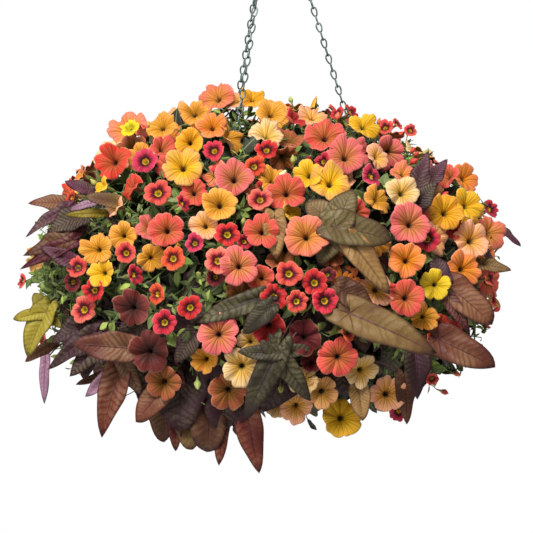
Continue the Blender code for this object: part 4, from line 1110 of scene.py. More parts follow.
LEAF_ROWS = 8
LEAF_ACROSS = 5
LEAF_THICK = 0.00035
LEAF_FACES = tube_faces(LEAF_ROWS, 2 * LEAF_ACROSS)
LEAF_BAKE_MAP = wrap_map(LEAF_FACES, 2 * LEAF_ACROSS, LEAF_ROWS)
LEAF_MAP = LEAF_BAKE_MAP.copy()
leaf_column = np.round(LEAF_BAKE_MAP[:, 0] * 2 * LEAF_ACROSS) % (2 * LEAF_ACROSS)
leaf_column = np.where(leaf_column < LEAF_ACROSS, leaf_column, 2 * LEAF_ACROSS - 1 - leaf_column)
LEAF_MAP[:, 0] = leaf_column / (LEAF_ACROSS - 1)


def leaf_points(bases, aims, tops, lengths, widths, droop, fold, wave, chance):
    """Thin blades with a short stalk. tops is the way the upper side faces."""
    count = len(bases)
    aims = unit(aims)
    sides = unit(np.cross(aims, tops))
    tops = np.cross(sides, aims)
    t = np.linspace(0, 1, LEAF_ROWS) ** 0.9
    half = np.where(t < 0.16, 0.05, np.sin(np.pi * np.clip((t - 0.10) / 0.90, 0, 1) ** 0.80) ** 0.85)
    half = np.maximum(half, 0.03)[None] * 0.5 * widths[:, None]
    u = np.linspace(-1, 1, LEAF_ACROSS)
    arch = -droop[:, None] * lengths[:, None] * t ** 2
    phase = chance.uniform(0, 6, (count, 1, 1))
    ripple = (wave[:, None, None] * half[:, :, None] * np.abs(u)
              * np.sin(9 * t[None, :, None] + phase + 2 * u))
    height = arch[:, :, None] + fold[:, None, None] * np.abs(u) * half[:, :, None] + ripple
    run = lengths[:, None] * t * (1 - 0.25 * droop[:, None] * t)
    spine = bases[:, None, :] + aims[:, None, :] * run[:, :, None]
    upper = (spine[:, :, None, :] + sides[:, None, None, :] * (u * half[:, :, None])[..., None]
             + tops[:, None, None, :] * height[..., None])
    lower = upper[:, :, ::-1] - LEAF_THICK * tops[:, None, None, :]
    return np.concatenate([upper, lower], axis=2).reshape(count, -1, 3)


def leaf_material():
    """Matt, softly hairy blade: a paler midrib, side veins, and blotches of older green."""
    n = Nodes("green_leaf", 0.55)
    n.shader.inputs["Specular IOR Level"].default_value = 0.35
    n.shader.inputs["Sheen Weight"].default_value = 0.05
    across, along = n.flat_map("leaf")
    off_middle = n.math("ABSOLUTE", n.math("SUBTRACT", across, 0.5))
    midrib = n.band(off_middle, 0.055, 0.015)
    slanted = n.math("MULTIPLY_ADD", off_middle, -26.0, n.math("MULTIPLY", along, 44.0))
    side_veins = n.math("POWER", n.math("ABSOLUTE", n.math("SINE", slanted)), 12.0)
    veins = n.math("MAXIMUM", midrib, n.math("MULTIPLY", side_veins, 0.45))
    cloud = n.noise(110, 3)
    colour = n.mix(n.band(cloud, 0.35, 0.75), n.layer("leaf_colour"), paint("8aa35c"), "SOFT_LIGHT")
    colour = n.mix(n.math("MULTIPLY", veins, 0.45), colour, paint("a9bd84"))
    down = n.math("MULTIPLY", n.noise(800, 2), 0.35)
    n.bump(n.math("ADD", n.math("MULTIPLY", veins, -0.8), down), 0.6, 0.0006)
    return n.finish(colour, n.math("MULTIPLY_ADD", cloud, 0.20, 0.45))


GREEN_LEAF = leaf_material()
GREENS = ["54602c", "606c34", "727e3c", "849248", "8a9a52", "68763a", "9aac54", "828a5c", "aebc5c"]
# near-black greens for the leaves deep inside the mound: painted shade in the gaps between the blooms
INNER_SHADE_GREENS = ["1c1e16", "222518", "2a2e1c", "33341f"]


def covers_a_bloom(places):
    """Whether each place would stand in front of a bloom's face or cut through its petals."""
    covered = np.zeros(len(places), bool)
    for centre, facing, radius in zip(all_centres, all_facings, all_radii):
        away = places - centre
        ahead = away @ facing
        beside_axis = np.linalg.norm(away - np.outer(ahead, facing), axis=1)
        trumpet = radius * np.clip(1.0 + ahead / (0.9 * radius), 0.12, 1.0)
        covered |= (ahead > -0.9 * radius) & (ahead < 0.07) & (beside_axis < 0.92 * trumpet)
    return covered


def among_the_vines(places):
    """The lower left of the front, where only the sweet potato vines grow."""
    away = places - MOUND_CENTRE
    up = away @ SCREEN_UP
    return (away[:, 0] > -0.165) & (away[:, 0] < -0.045) & (up < -0.125) & (away @ TO_VIEWER > 0)


def grow_sprays(count, kind, insets, leaves_each, leaf_length, leaf_width, greens, offset, lowest):
    """Side shoots over the whole mound, each with its leaves set in turns along its outer half."""
    ends = scattered(count, offset, 1, lowest, chance.uniform(*insets, count))
    ends = ends[~covers_a_bloom(ends)]
    count = len(ends)
    arriving = unit(mound_normal(ends) + 0.30 * ABOVE + chance.normal(0, 0.28, (count, 3)))
    owners = nearest_shoots(kind, ends)
    twigs = add_stalks(owners, ends, arriving, np.full(count, 0.0007), STEM_GREEN)
    share = np.linspace(0.40, 1.0, leaves_each)
    slot = share * (STALK_ROWS - 1)
    lower = np.minimum(slot.astype(int), STALK_ROWS - 2)
    part = (slot - lower)[None, :, None]
    bases = (twigs[:, lower] * (1 - part) + twigs[:, lower + 1] * part).reshape(-1, 3)
    twig_way = unit(np.repeat(twigs[:, -1] - twigs[:, -4], leaves_each, axis=0))
    around = (np.arange(leaves_each) * GOLDEN_ANGLE)[None] + chance.uniform(0, 6.28, (count, 1))
    around = around.reshape(-1, 1)
    flat = unit(np.cross(twig_way, np.array([0.31, 0.17, 0.93])))
    radial = np.cos(around) * flat + np.sin(around) * np.cross(twig_way, flat)
    total = count * leaves_each
    aims = unit(0.60 * twig_way + radial + chance.normal(0, 0.15, (total, 3)))
    tops = twig_way + 0.35 * ABOVE
    size = np.tile(np.linspace(1.1, 0.6, leaves_each), count) * chance.uniform(0.8, 1.2, total)
    lengths = leaf_length * size
    widths = leaf_width * size * chance.uniform(0.8, 1.15, total)
    droop, fold, wave = (chance.uniform(0.05, most, total) for most in (0.35, 0.35, 0.22))
    keep = ~covers_a_bloom(bases + 0.55 * lengths[:, None] * aims)
    keep &= ~covers_a_bloom(bases + 0.95 * lengths[:, None] * aims)
    keep &= chain_distance(bases + 0.5 * lengths[:, None] * aims) > 0.5 * CHAIN_ROOM
    keep &= ~among_the_vines(bases + lengths[:, None] * aims)
    points = leaf_points(bases, aims, tops, lengths, widths, droop, fold, wave, chance)
    colours = tint(list(chance.choice(greens, total)), chance, 0.12)
    owners = np.repeat(owners, leaves_each)
    return owners[keep], points[keep], colours[keep]


def sepals(owners, centres, facings, radii, reach, width):
    """Five narrow sepals round the foot of each trumpet, lying along it and curling off."""
    turn = (2 * np.pi * np.arange(5) / 5)[None, :, None]
    flat = unit(np.cross(facings, np.array([0.21, 0.13, 0.97])))
    radial = np.cos(turn) * flat[:, None] + np.sin(turn) * np.cross(facings, flat)[:, None]
    bases = (centres - facings * (1.42 * radii[:, None]))[:, None] + 0.0008 * radial
    aims = (facings[:, None] + 0.42 * radial).reshape(-1, 3)
    total = len(aims)
    lengths = np.repeat(reach * radii, 5)
    bases = bases.reshape(-1, 3)
    droop, fold, wave = np.full(total, -0.25), np.full(total, 0.2), np.full(total, 0.1)
    points = leaf_points(bases, aims, -radial.reshape(-1, 3), lengths, np.repeat(width * radii, 5),
                         droop, fold, wave, chance)
    clear = ~covers_a_bloom(bases + 0.8 * lengths[:, None] * unit(aims))
    return np.repeat(owners, 5)[clear], points[clear], tint(["7f9a50"] * total, chance, 0.12)[clear]


green_batches = [
    grow_sprays(230, "petunia_shoot", (0.008, 0.026), 9, 0.026, 0.0125, GREENS, 0.0, -0.50),
    grow_sprays(320, "calibrachoa_shoot", (0.004, 0.022), 12, 0.019, 0.0058, GREENS, 1.3, -0.55),
    # these two inner layers of near-black leaves stand in for the shade deep inside the mound
    grow_sprays(330, "petunia_shoot", (0.036, 0.058), 11, 0.036, 0.022, INNER_SHADE_GREENS, 2.1, -0.86),
    grow_sprays(240, "petunia_shoot", (0.070, 0.105), 11, 0.042, 0.026, INNER_SHADE_GREENS, 0.6, -0.90),
    sepals(petunia_owners, petunia_centres, petunia_facings, petunia_radii, 0.62, 0.16),
    sepals(calibrachoa_owners, calibrachoa_centres, calibrachoa_facings, calibrachoa_radii, 0.55, 0.16),
]
green_owners, green_points, green_colours = (np.concatenate(parts) for parts in zip(*green_batches))
for owner in sorted(set(green_owners)):
    mine = green_owners == owner
    make_piece(f"{owner}_leaves", green_points[mine], LEAF_FACES, GREEN_LEAF,
               {"leaf": (LEAF_MAP, False), "OFBake": (LEAF_BAKE_MAP, True)},
               {"leaf_colour": green_colours[mine]})

# ---- Sweet potato vine -------------------------------------------------------------------------
# Trailing foliage with heart-shaped or pointed-lobed blades in bronze, olive, red-brown and dark
# purple, lilac underneath. Every blade hangs on its own purple stalk from a vine.

BLADE_AROUND = 60
BLADE_RINGS = 6
BLADE_THICK = 0.0005
BLADE_FACES = tube_faces(2 * BLADE_RINGS, BLADE_AROUND)
BLADE_BAKE_MAP = wrap_map(BLADE_FACES, BLADE_AROUND, 2 * BLADE_RINGS)
blade_reach = np.append(np.linspace(0.04, 1, BLADE_RINGS), np.linspace(1, 0.04, BLADE_RINGS))
BLADE_MAP = BLADE_BAKE_MAP.copy()
BLADE_MAP[:, 1] = blade_reach[np.round(BLADE_BAKE_MAP[:, 1] * (2 * BLADE_RINGS - 1)).astype(int)]
BLADE_UNDERSIDE = np.repeat(np.arange(2 * BLADE_RINGS) >= BLADE_RINGS, BLADE_AROUND).astype(float)
# distance from the stalk to the edge, at degrees from the tip, as a share of the blade's length
HEART_EDGE = ((0, 1.0), (10, 0.90), (25, 0.74), (45, 0.60), (65, 0.52), (90, 0.46), (120, 0.42),
              (145, 0.38), (165, 0.26), (180, 0.15))
ROUND_EDGE = ((0, 1.0), (12, 0.98), (25, 0.88), (45, 0.70), (65, 0.58), (90, 0.50), (120, 0.42),
              (145, 0.36), (165, 0.26), (180, 0.15))
LOBED_EDGE = ((0, 1.0), (9, 0.80), (20, 0.56), (31, 0.46), (42, 0.58), (53, 0.84), (64, 0.60),
              (82, 0.36), (98, 0.44), (112, 0.60), (126, 0.44), (150, 0.28), (168, 0.20), (180, 0.12))
VINE_TONES = {                                       # upper side, veins, underside
    "bronze": ("74582f", "4e2430", "8a6478"), "olive": ("8f801a", "6a4a1a", "8a7a3a"),
    "moss": ("5e4f2c", "5a3038", "8a6478"), "darkolive": ("38331f", "2c1c22", "6a5a60"),
    "tan": ("9a7240", "66402e", "94705a"),
    "brown": ("5e3824", "3a1c18", "744848"), "redbronze": ("682a1c", "401418", "8a4444"),
    "redbrown": ("72402a", "4c1e26", "8a4a40"), "purple": ("50303a", "6a3046", "8a6074"),
    "darkpurple": ("2e181c", "502c36", "5c3848"), "lilac": ("9a7088", "62344a", "9a7088"),
    "wine": ("4e1620", "2c0a12", "6c2c38"),
}
# base and tip on the front elevation and width, in centimetres, tone, outline (from -1 round to
# 1 deeply lobed), depth in millimetres
VINE_LEAVES = [
    (-25.3, 8.9, -29.6, 9.2, 2.3, "redbrown", 0.1, 2), (-25.2, 8.1, -30.2, 5.2, 1.9, "purple", 0.1, 0),
    (-23.4, 7.2, -27.4, 5.6, 3.6, "darkpurple", 0.1, 6), (-25.0, 4.3, -30.6, 2.6, 2.8, "brown", 0.3, 1),
    (-24.6, 3.9, -30.9, 0.9, 2.4, "wine", 0.2, 3), (-21.8, 9.0, -25.4, 8.1, 1.1, "lilac", 0.0, 0),
    (-20.9, 7.7, -25.1, 7.7, 1.3, "olive", 0.0, 1), (-18.8, 9.0, -22.8, 9.9, 2.0, "bronze", -0.2, 2),
    (-24.2, 1.6, -28.2, 3.6, 2.2, "purple", 0.1, 8), (-24.0, 6.0, -28.6, 3.6, 3.4, "wine", 0.2, 10),
    (-22.2, 10.6, -25.2, 11.8, 1.8, "purple", 0.0, 6), (-27.5, -4.6, -31.8, -5.4, 1.9, "olive", -0.3, 0),
    (-27.5, -4.6, -30.2, -9.9, 3.4, "olive", -0.2, 0), (-27.5, -4.6, -29.2, -2.1, 2.2, "olive", 0.0, 2),
    (-27.5, -4.6, -25.6, -6.6, 1.6, "olive", 0.0, 3), (-27.0, -8.8, -30.3, -10.8, 1.7, "brown", 0.0, 4),
    (-21.8, -7.6, -27.4, -11.5, 3.0, "darkpurple", 0.3, 4),
    (-22.6, -6.2, -27.0, -8.4, 3.4, "darkpurple", 0.3, 8),
    (-27.6, -10.8, -27.9, -16.3, 1.5, "lilac", 0.0, 0),
    (-17.6, -9.1, -24.2, -8.6, 3.9, "redbrown", -0.2, 0),
    (-22.0, -9.6, -22.9, -12.9, 2.5, "darkpurple", -0.4, 3),
    (-19.0, -12.2, -22.8, -15.2, 2.2, "lilac", 0.1, 3),
    (-20.4, -12.5, -23.9, -13.7, 1.2, "brown", 0.0, 2),
    (-18.0, -10.6, -15.6, -15.2, 2.4, "brown", 0.0, 0),
    (-18.4, -12.0, -20.8, -20.5, 3.8, "redbronze", 0.2, 0),
    (-12.8, -14.0, -16.4, -18.4, 3.6, "redbrown", -0.3, 12),
    (-12.6, -14.6, -12.9, -20.8, 4.4, "brown", -0.7, 30),
    (-11.2, -15.6, -11.5, -21.8, 2.4, "redbronze", -0.5, 18),
    (-10.4, -15.0, -9.2, -22.0, 4.0, "bronze", -0.8, 26),
    (-6.8, -14.6, -7.6, -22.3, 5.2, "brown", -0.8, 32),
    (-10.4, -11.0, -11.0, -19.4, 7.5, "darkpurple", -0.6, 46),
    (-14.0, -11.0, -14.6, -17.2, 5.5, "darkpurple", -0.3, 44),
    (-5.0, -12.4, -5.6, -19.6, 6.0, "darkpurple", -0.5, 46),
    (-1.2, -12.0, -1.8, -17.6, 5.0, "darkpurple", -0.3, 46),
    (-5.4, -17.6, -6.0, -24.0, 2.1, "redbronze", 0.0, 14),
    (-2.6, -16.8, -1.0, -24.6, 3.6, "redbronze", -0.1, 6),
    (-4.2, -16.6, -3.4, -20.3, 1.4, "darkpurple", 0.0, 20),
    (-1.0, -3.0, -9.1, -5.9, 3.0, "darkolive", 0.0, 11),
    (0.2, -4.2, -3.1, -7.3, 2.8, "darkolive", 0.0, -4),
    (1.2, -9.7, -2.9, -18.6, 3.6, "darkolive", 0.0, -3),
    (1.2, -9.7, 5.8, -16.0, 3.0, "darkolive", 0.0, -3),
    (1.2, -9.7, -3.7, -9.6, 2.2, "darkolive", 0.0, -5), (1.2, -9.7, 5.8, -9.1, 2.2, "darkolive", 0.0, 6),
    (-9.2, -7.6, -11.6, -11.2, 2.9, "darkpurple", 0.2, 14), (1.0, 6.9, 1.2, 1.9, 3.1, "tan", 0.1, 5),
    (8.6, 6.0, 16.2, 4.6, 4.8, "moss", 0.0, 1), (8.6, 6.2, 10.8, 11.0, 4.2, "moss", 0.0, 4),
    (8.4, 6.2, 5.0, 9.4, 4.0, "bronze", -0.3, 5), (8.4, 5.8, 6.7, 1.2, 4.0, "moss", 0.1, 5),
    (8.8, 5.8, 12.3, 1.5, 4.0, "moss", 0.0, 4), (10.5, 4.2, 15.4, -2.2, 3.6, "tan", 0.0, 3),
    (10.3, -4.8, 21.3, -9.4, 4.8, "bronze", -0.2, 0), (9.6, -1.8, 13.6, -4.6, 3.6, "brown", -0.4, 4),
    (11.5, -14.4, 12.0, -18.3, 2.8, "tan", 0.0, 5), (18.8, 11.0, 20.2, 15.4, 2.8, "purple", 0.3, 3),
    (20.6, 11.8, 22.5, 14.4, 2.2, "purple", 0.1, 5), (18.6, 8.8, 21.4, 11.6, 3.2, "darkpurple", 0.3, 10),
    (22.0, -0.8, 20.9, 2.7, 2.8, "purple", -0.3, 10), (29.4, 5.6, 31.9, 3.7, 1.2, "purple", 0.0, 2),
    (27.0, 1.3, 30.5, 0.7, 1.7, "bronze", -0.4, 4), (27.4, 2.8, 28.9, 0.1, 1.1, "purple", 0.0, 2),
    (22.8, -1.5, 28.5, -6.1, 4.4, "redbrown", -0.5, 8), (22.4, -2.6, 25.4, -7.2, 2.2, "wine", 0.1, 6),
    (21.4, -8.0, 28.7, -11.4, 4.6, "redbrown", -0.2, 0),
    (18.6, -9.5, 19.0, -15.6, 3.6, "darkpurple", 0.3, 3),
    (17.2, -13.2, 17.7, -18.5, 2.6, "brown", 0.1, 4),
    (-20.5, -8.0, -24.6, -12.6, 5.0, "darkpurple", 0.5, 12),
    (-16.2, -7.0, -17.8, -11.8, 4.4, "darkpurple", 0.2, 20),
]


def edge_distance(pattern, degrees):
    """One of the outlines above all round the blade, its corners softened."""
    keys = np.array(pattern)
    plain = np.interp(degrees, keys[:, 0], keys[:, 1])
    return 0.5 * plain + 0.25 * np.roll(plain, 1) + 0.25 * np.roll(plain, -1)


def blade_points(bases, tips, faces_up, widths, outline, droop, chance):
    """Blades that spread from the end of a stalk, as thin closed shells, and how far along and
    across its blade every point lies. outline runs from -1 round to 1 deeply lobed.
    """
    count = len(bases)
    spans = tips - bases
    lengths = np.linalg.norm(spans, axis=1)
    along = unit(spans)
    side = unit(np.cross(along, faces_up))
    top = np.cross(side, along)
    theta = -2 * np.pi * np.arange(BLADE_AROUND) / BLADE_AROUND
    degrees = np.degrees(np.abs((theta + np.pi) % (2 * np.pi) - np.pi))
    heart, lobed, rounded = (edge_distance(pattern, degrees)
                             for pattern in (HEART_EDGE, LOBED_EDGE, ROUND_EDGE))
    lobed[0] = heart[0] = rounded[0] = 1.0
    lobed_share, round_share = np.clip(outline, 0, 1)[:, None], np.clip(-outline, 0, 1)[:, None]
    edge = heart * (1 - lobed_share - round_share) + lobed * lobed_share + rounded * round_share
    edge = edge * (1 + 0.03 * np.sin(7 * theta + chance.uniform(0, 6, (count, 1))))
    share = np.linspace(0.04, 1, BLADE_RINGS)[None, :, None]
    x = share * (edge * np.cos(theta))[:, None, :]
    y = share * (edge * np.sin(theta))[:, None, :]
    widest = np.abs(edge * np.sin(theta)).max(1)
    stretch = (0.5 * widths / (lengths * widest))[:, None, None]
    fold = chance.uniform(0.15, 0.62, (count, 1, 1))
    depth = chance.uniform(0.02, 0.05, (count, 1, 1))
    phase = chance.uniform(0, 6, (count, 1))
    ripple = depth * share ** 2 * np.sin(6 * theta + phase)[:, None, :]
    height = (fold * np.abs(y * stretch) - droop[:, None, None] * (x ** 2 + 0.6 * y ** 2)
              + ripple * np.minimum(1, 2 * stretch))
    height += 0.035 * np.sin(math.pi * share) * (1 - 0.5 * np.abs(y))
    scale = lengths[:, None, None, None]
    upper = bases[:, None, None, :] + scale * (x[..., None] * along[:, None, None, :]
        + (y * stretch)[..., None] * side[:, None, None, :] + height[..., None] * top[:, None, None, :])
    lower = upper[:, ::-1] - BLADE_THICK * top[:, None, None, :]
    along_blade = np.concatenate([x, x[:, ::-1]], axis=1).reshape(count, -1)
    across_blade = np.concatenate([y * stretch, (y * stretch)[:, ::-1]], axis=1).reshape(count, -1)
    return np.concatenate([upper, lower], axis=1).reshape(count, -1, 3), along_blade, across_blade


def vine_material():
    """Satin blade, quilted between a midrib, lobe ribs and side veins, with painted highlights on the bulges;
    purple edge, paler under.
    """
    n = Nodes("vine_leaf", 0.5)
    n.shader.inputs["Specular IOR Level"].default_value = 0.25
    reach = n.flat_map("blade")[1]
    along = n.layer("along_blade", plain=True)
    wide = n.math("ABSOLUTE", n.layer("across_blade", plain=True))
    rib_distance = n.math("MULTIPLY", wide, n.math("MULTIPLY_ADD", reach, 1.2, 0.7))
    for angle in (53, 112):                          # where the lobes point, degrees from the tip
        aside = n.math("MULTIPLY_ADD", wide, -math.cos(math.radians(angle)),
                       n.math("MULTIPLY", along, math.sin(math.radians(angle))))
        narrowing = n.math("MULTIPLY", n.math("ABSOLUTE", aside), n.math("MULTIPLY_ADD", reach, 6.0, 1.2))
        rib_distance = n.math("MINIMUM", rib_distance, narrowing)
    ribs = n.math("MULTIPLY", n.band(rib_distance, 0.020, 0.005), n.band(reach, 1.0, 0.5))
    drift = n.math("MULTIPLY", n.noise(45, 3), 7.0)
    slanted = n.math("ADD", n.math("MULTIPLY_ADD", wide, -22.0, n.math("MULTIPLY", along, 30.0)), drift)
    bulge = n.math("ABSOLUTE", n.math("SINE", slanted))
    side_veins = n.band(bulge, 0.22, 0.03)
    veins = n.math("MAXIMUM", ribs, n.math("MULTIPLY", side_veins, 0.16), clamp=True)
    cloud = n.noise(24, 3)
    fine = n.noise(420, 4)
    # painted highlight: the blade colour is screened towards pale straw where the quilting bulges between the side
    # veins
    highlight_tint = n.mix(0.5, n.layer("blade_colour"), paint("e0d09a"), "SCREEN")
    lighter = n.mix(0.30, n.layer("blade_colour"), highlight_tint)
    highlight_share = n.math("MULTIPLY", bulge, n.band(n.math("MULTIPLY_ADD", fine, 0.5, cloud), 0.60, 1.0))
    colour = n.mix(highlight_share, n.layer("blade_colour"), lighter)
    colour = n.mix(n.math("MULTIPLY", n.band(cloud, 0.52, 0.28), 0.55), colour, n.layer("rib_colour"))
    colour = n.mix(n.math("MULTIPLY", n.band(fine, 0.55, 0.75), 0.25), colour, paint("2c1a18"))
    colour = n.mix(n.math("MULTIPLY", n.band(reach, 0.88, 1.0), 0.6), colour, paint("3c1824"))
    colour = n.mix(n.math("MULTIPLY", veins, 0.62), colour, n.layer("rib_colour"))
    under = n.mix(n.math("MULTIPLY", veins, 0.6), n.layer("under_colour"), n.layer("rib_colour"))
    colour = n.mix(n.layer("outside", plain=True), colour, under)
    relief = n.math("MULTIPLY_ADD", bulge, 0.4, n.math("MULTIPLY", ribs, -1.0))
    n.bump(n.math("MULTIPLY_ADD", fine, 0.5, relief), 0.8, 0.0010)
    return n.finish(colour, n.math("MULTIPLY_ADD", fine, 0.25, 0.38))


VINE_LEAF = vine_material()
DEEP_LEAVES = 150
TIP_ROOM = 0.004                                     # listed tips are drawn in to this far past the CAD box
BOX_ROOM = 0.005                                     # a leaf whose tip lies further past it is left out
rows = np.array([[row[k] for k in (0, 1, 2, 3, 4, 6, 7)] for row in VINE_LEAVES], float)
vine_bases = on_mound(rows[:, 0] * CM, rows[:, 1] * CM, rows[:, 6] * MM)
tip_aims = MOUND_CENTRE + np.outer(rows[:, 2] * CM, RIGHT) + np.outer(rows[:, 3] * CM, SCREEN_UP)
level = np.linalg.norm(vine_bases - EYE, axis=1, keepdims=True)
vine_tips = EYE + unit(tip_aims - EYE) * (level - 0.004)
on_surface = on_mound(rows[:, 2] * CM, rows[:, 3] * CM, rows[:, 6] * MM)
near_surface = np.linalg.norm(on_surface - vine_tips, axis=1, keepdims=True) < 0.05
vine_tips = 0.5 * vine_tips + 0.5 * np.where(near_surface, on_surface, vine_tips)
vine_widths = rows[:, 4] * CM * (level[:, 0] / VIEW_DISTANCE)
vine_outlines = rows[:, 5]
vine_tops = unit(0.75 * unit(EYE - vine_bases) + 0.45 * mound_normal(vine_bases) + 0.25 * ABOVE)
vine_tones = [row[5] for row in VINE_LEAVES]
grown_low, grown_high = (np.array(corner) for corner in cad_bounds)
vine_tips = np.clip(vine_tips, grown_low - TIP_ROOM, grown_high + TIP_ROOM)

hidden = scatter_hidden(110, 0.71, 0.39, -0.97, 0.004, 0.38)
sizes = chance.uniform(0.055, 0.085, len(hidden))
drop = unit(0.55 * mound_normal(hidden) - 0.8 * ABOVE + chance.normal(0, 0.35, hidden.shape))
tone_choice = ["bronze", "olive", "darkolive", "brown", "redbronze", "purple", "darkpurple"]
tones = list(chance.choice(tone_choice, len(hidden)))
deeper = scattered(DEEP_LEAVES, 0.4, 0.30, -0.75, 0.042)   # darker leaves deeper in, low all round
hidden = np.vstack([hidden, deeper])
sizes = np.append(sizes, chance.uniform(0.050, 0.070, DEEP_LEAVES))
deep_drop = -0.10 * mound_normal(deeper) - 0.8 * ABOVE + chance.normal(0, 0.20, deeper.shape)
drop = np.vstack([drop, unit(deep_drop)])
tone_choice = ["darkpurple", "darkpurple", "brown", "darkolive", "wine"]
tones += list(chance.choice(tone_choice, DEEP_LEAVES))
vine_bases = np.vstack([vine_bases, hidden])
vine_tips = np.vstack([vine_tips, hidden + sizes[:, None] * drop])
vine_widths = np.append(vine_widths, sizes * chance.uniform(0.50, 0.85, len(hidden)))
vine_outlines = np.append(vine_outlines, chance.choice([-0.6, 0.0, 0.2, 0.5, 0.9], len(hidden)))
vine_tops = np.vstack([vine_tops, unit(mound_normal(hidden) + 0.4 * ABOVE)])
vine_tones += [str(tone) for tone in tones]
apart = chain_distance(vine_bases) > CHAIN_ROOM
keep = apart & ((vine_tips > grown_low - BOX_ROOM) & (vine_tips < grown_high + BOX_ROOM)).all(1)
away = vine_tips - MOUND_CENTRE                      # the unlisted ones hang no lower than this skirt
skirt = np.interp(away[:, 0], [-0.30, -0.22, -0.13, -0.04, 0.01, 0.10, 0.20, 0.27, 0.31],
                  [-0.06, -0.13, -0.18, -0.20, -0.185, -0.16, -0.135, -0.08, 0.0])
keep &= (np.arange(len(keep)) < len(VINE_LEAVES)) | (away @ SCREEN_UP > skirt)
vine_owners = nearest_shoots("sweet_potato_vine", vine_bases)
vine_droop = chance.uniform(0.04, 0.16, len(vine_bases))
vine_points, vine_along, vine_across = blade_points(vine_bases, vine_tips, vine_tops, vine_widths,
                                                    vine_outlines, vine_droop, chance)
vine_colours = [tint([VINE_TONES[tone][k] for tone in vine_tones], chance, 0.10) for k in range(3)]
leaving = unit(vine_tips - vine_bases)[keep] * 0.6 + 0.6 * mound_normal(vine_bases[keep])
add_stalks(vine_owners[keep], vine_bases[keep], leaving, np.full(int(keep.sum()), 0.0010),
           paint("6b3f4a")[:3])
for owner in sorted(set(vine_owners[keep])):
    mine = keep & (vine_owners == owner)
    make_piece(f"{owner}_leaves", vine_points[mine], BLADE_FACES, VINE_LEAF,
               {"blade": (BLADE_MAP, False), "OFBake": (BLADE_BAKE_MAP, True)},
               {"blade_colour": vine_colours[0][mine], "rib_colour": vine_colours[1][mine],
                "under_colour": vine_colours[2][mine], "outside": BLADE_UNDERSIDE,
                "along_blade": vine_along[mine], "across_blade": vine_across[mine]})

# ---- Buds --------------------------------------------------------------------------------------
# Unopened petunia and calibrachoa buds: slim, softly pleated spindles on stalks of their own,
# green at the foot and in the coming bloom's colour at the tip.

BUD_SIDES = 10
MORE_BUDS = 70                                       # scattered over the mound beside the listed ones
# across, up, length and width in centimetres, colour, where it points (degrees right, degrees up)
BUDS = [
    (-6.4, 13.7, 1.6, 0.8, "c9303a", 20, 50), (-1.0, 11.7, 1.6, 0.8, "c62f36", -15, 20),
    (5.3, 14.9, 1.6, 0.8, "8a1a26", 0, 40), (2.4, 13.1, 2.4, 1.1, "ecd9a8", 30, 40),
    (18.5, 16.0, 1.4, 0.6, "e0453a", 35, 50), (19.0, 15.4, 1.3, 0.6, "d8403a", 50, 35),
    (18.9, 14.5, 1.8, 0.8, "d23a34", 60, 20), (16.1, -1.2, 1.5, 0.7, "d83a34", 30, 20),
    (22.7, 10.4, 1.8, 0.9, "cf3a30", 40, 40), (-8.6, -14.3, 2.2, 0.9, "9aa65a", 10, -40),
    (1.8, -14.7, 1.8, 0.7, "b7b45c", 0, -35), (-8.7, 0.3, 1.6, 0.6, "a9b25a", -20, 20),
    (-2.8, 7.2, 1.7, 0.6, "a8b058", 10, 50), (3.3, 15.0, 1.8, 0.7, "b5b860", -10, 60),
    (-22.0, 12.0, 1.8, 0.7, "b9bd62", -50, 40),
]
rows = np.array([[row[k] for k in (0, 1, 2, 3, 5, 6)] for row in BUDS], float)
bud_tips = on_mound(rows[:, 0] * CM, rows[:, 1] * CM, np.full(len(rows), -0.002))
bud_ways = unit(looking(rows[:, 4], rows[:, 5]) + 0.3 * mound_normal(bud_tips))
bud_lengths, bud_widths = rows[:, 2] * CM, rows[:, 3] * CM * 0.9
bud_codes = [row[4] for row in BUDS]
more_tips = scattered(MORE_BUDS, 0.9, 1, -0.75, 0.002)
more_tips = more_tips[~covers_a_bloom(more_tips) & (chain_distance(more_tips) > CHAIN_ROOM)]
more_ways = unit(mound_normal(more_tips) + chance.normal(0, 0.4, more_tips.shape) + 0.3 * ABOVE)
bud_tips, bud_ways = np.vstack([bud_tips, more_tips]), np.vstack([bud_ways, more_ways])
bud_lengths = np.append(bud_lengths, chance.uniform(0.012, 0.022, len(more_tips)))
bud_widths = np.append(bud_widths, chance.uniform(0.0045, 0.0075, len(more_tips)))
code_choice = ["d8403a", "e06a4c", "e8b040", "b7b45c", "c9303a", "a9b25a"]
bud_codes += [str(code) for code in chance.choice(code_choice, len(more_tips))]

# a bud's width from foot to tip, as a share of its widest
BUD_PROFILE = np.array([0.20, 0.26, 0.30, 0.34, 0.40, 0.52, 0.72, 0.92, 1.0, 0.96, 0.80, 0.58, 0.36, 0.12])
bud_way = np.linspace(0, 1, STALK_ROWS)
bud_paths = bud_tips[:, None] + bud_ways[:, None] * bud_lengths[:, None, None] * (bud_way - 1)[:, None]
bud_points = tube_points(bud_paths, 0.5 * bud_widths[:, None] * BUD_PROFILE, BUD_SIDES, hint=(0.2, 0.3, 0.93))
pleats = 0.16 * np.cos(5 * 2 * np.pi * np.arange(BUD_SIDES) / BUD_SIDES)
pleats = 1 + pleats[None, :] * np.clip(2 * bud_way - 0.7, 0, 1)[:, None]
shape = bud_points.reshape(len(bud_tips), STALK_ROWS, BUD_SIDES, 3)
shape = bud_paths[:, :, None] + (shape - bud_paths[:, :, None]) * pleats[None, :, :, None]
bud_points = shape.reshape(len(bud_tips), -1, 3)
green_foot = np.clip(1.6 - 3.0 * bud_way, 0, 1)[None, :, None]
bud_green = np.array(paint("7f9550")[:3])
bud_colours = tint(bud_codes, chance, 0.08)[:, None] * (1 - green_foot) + bud_green * green_foot
bud_colours = np.repeat(bud_colours, BUD_SIDES, axis=1)


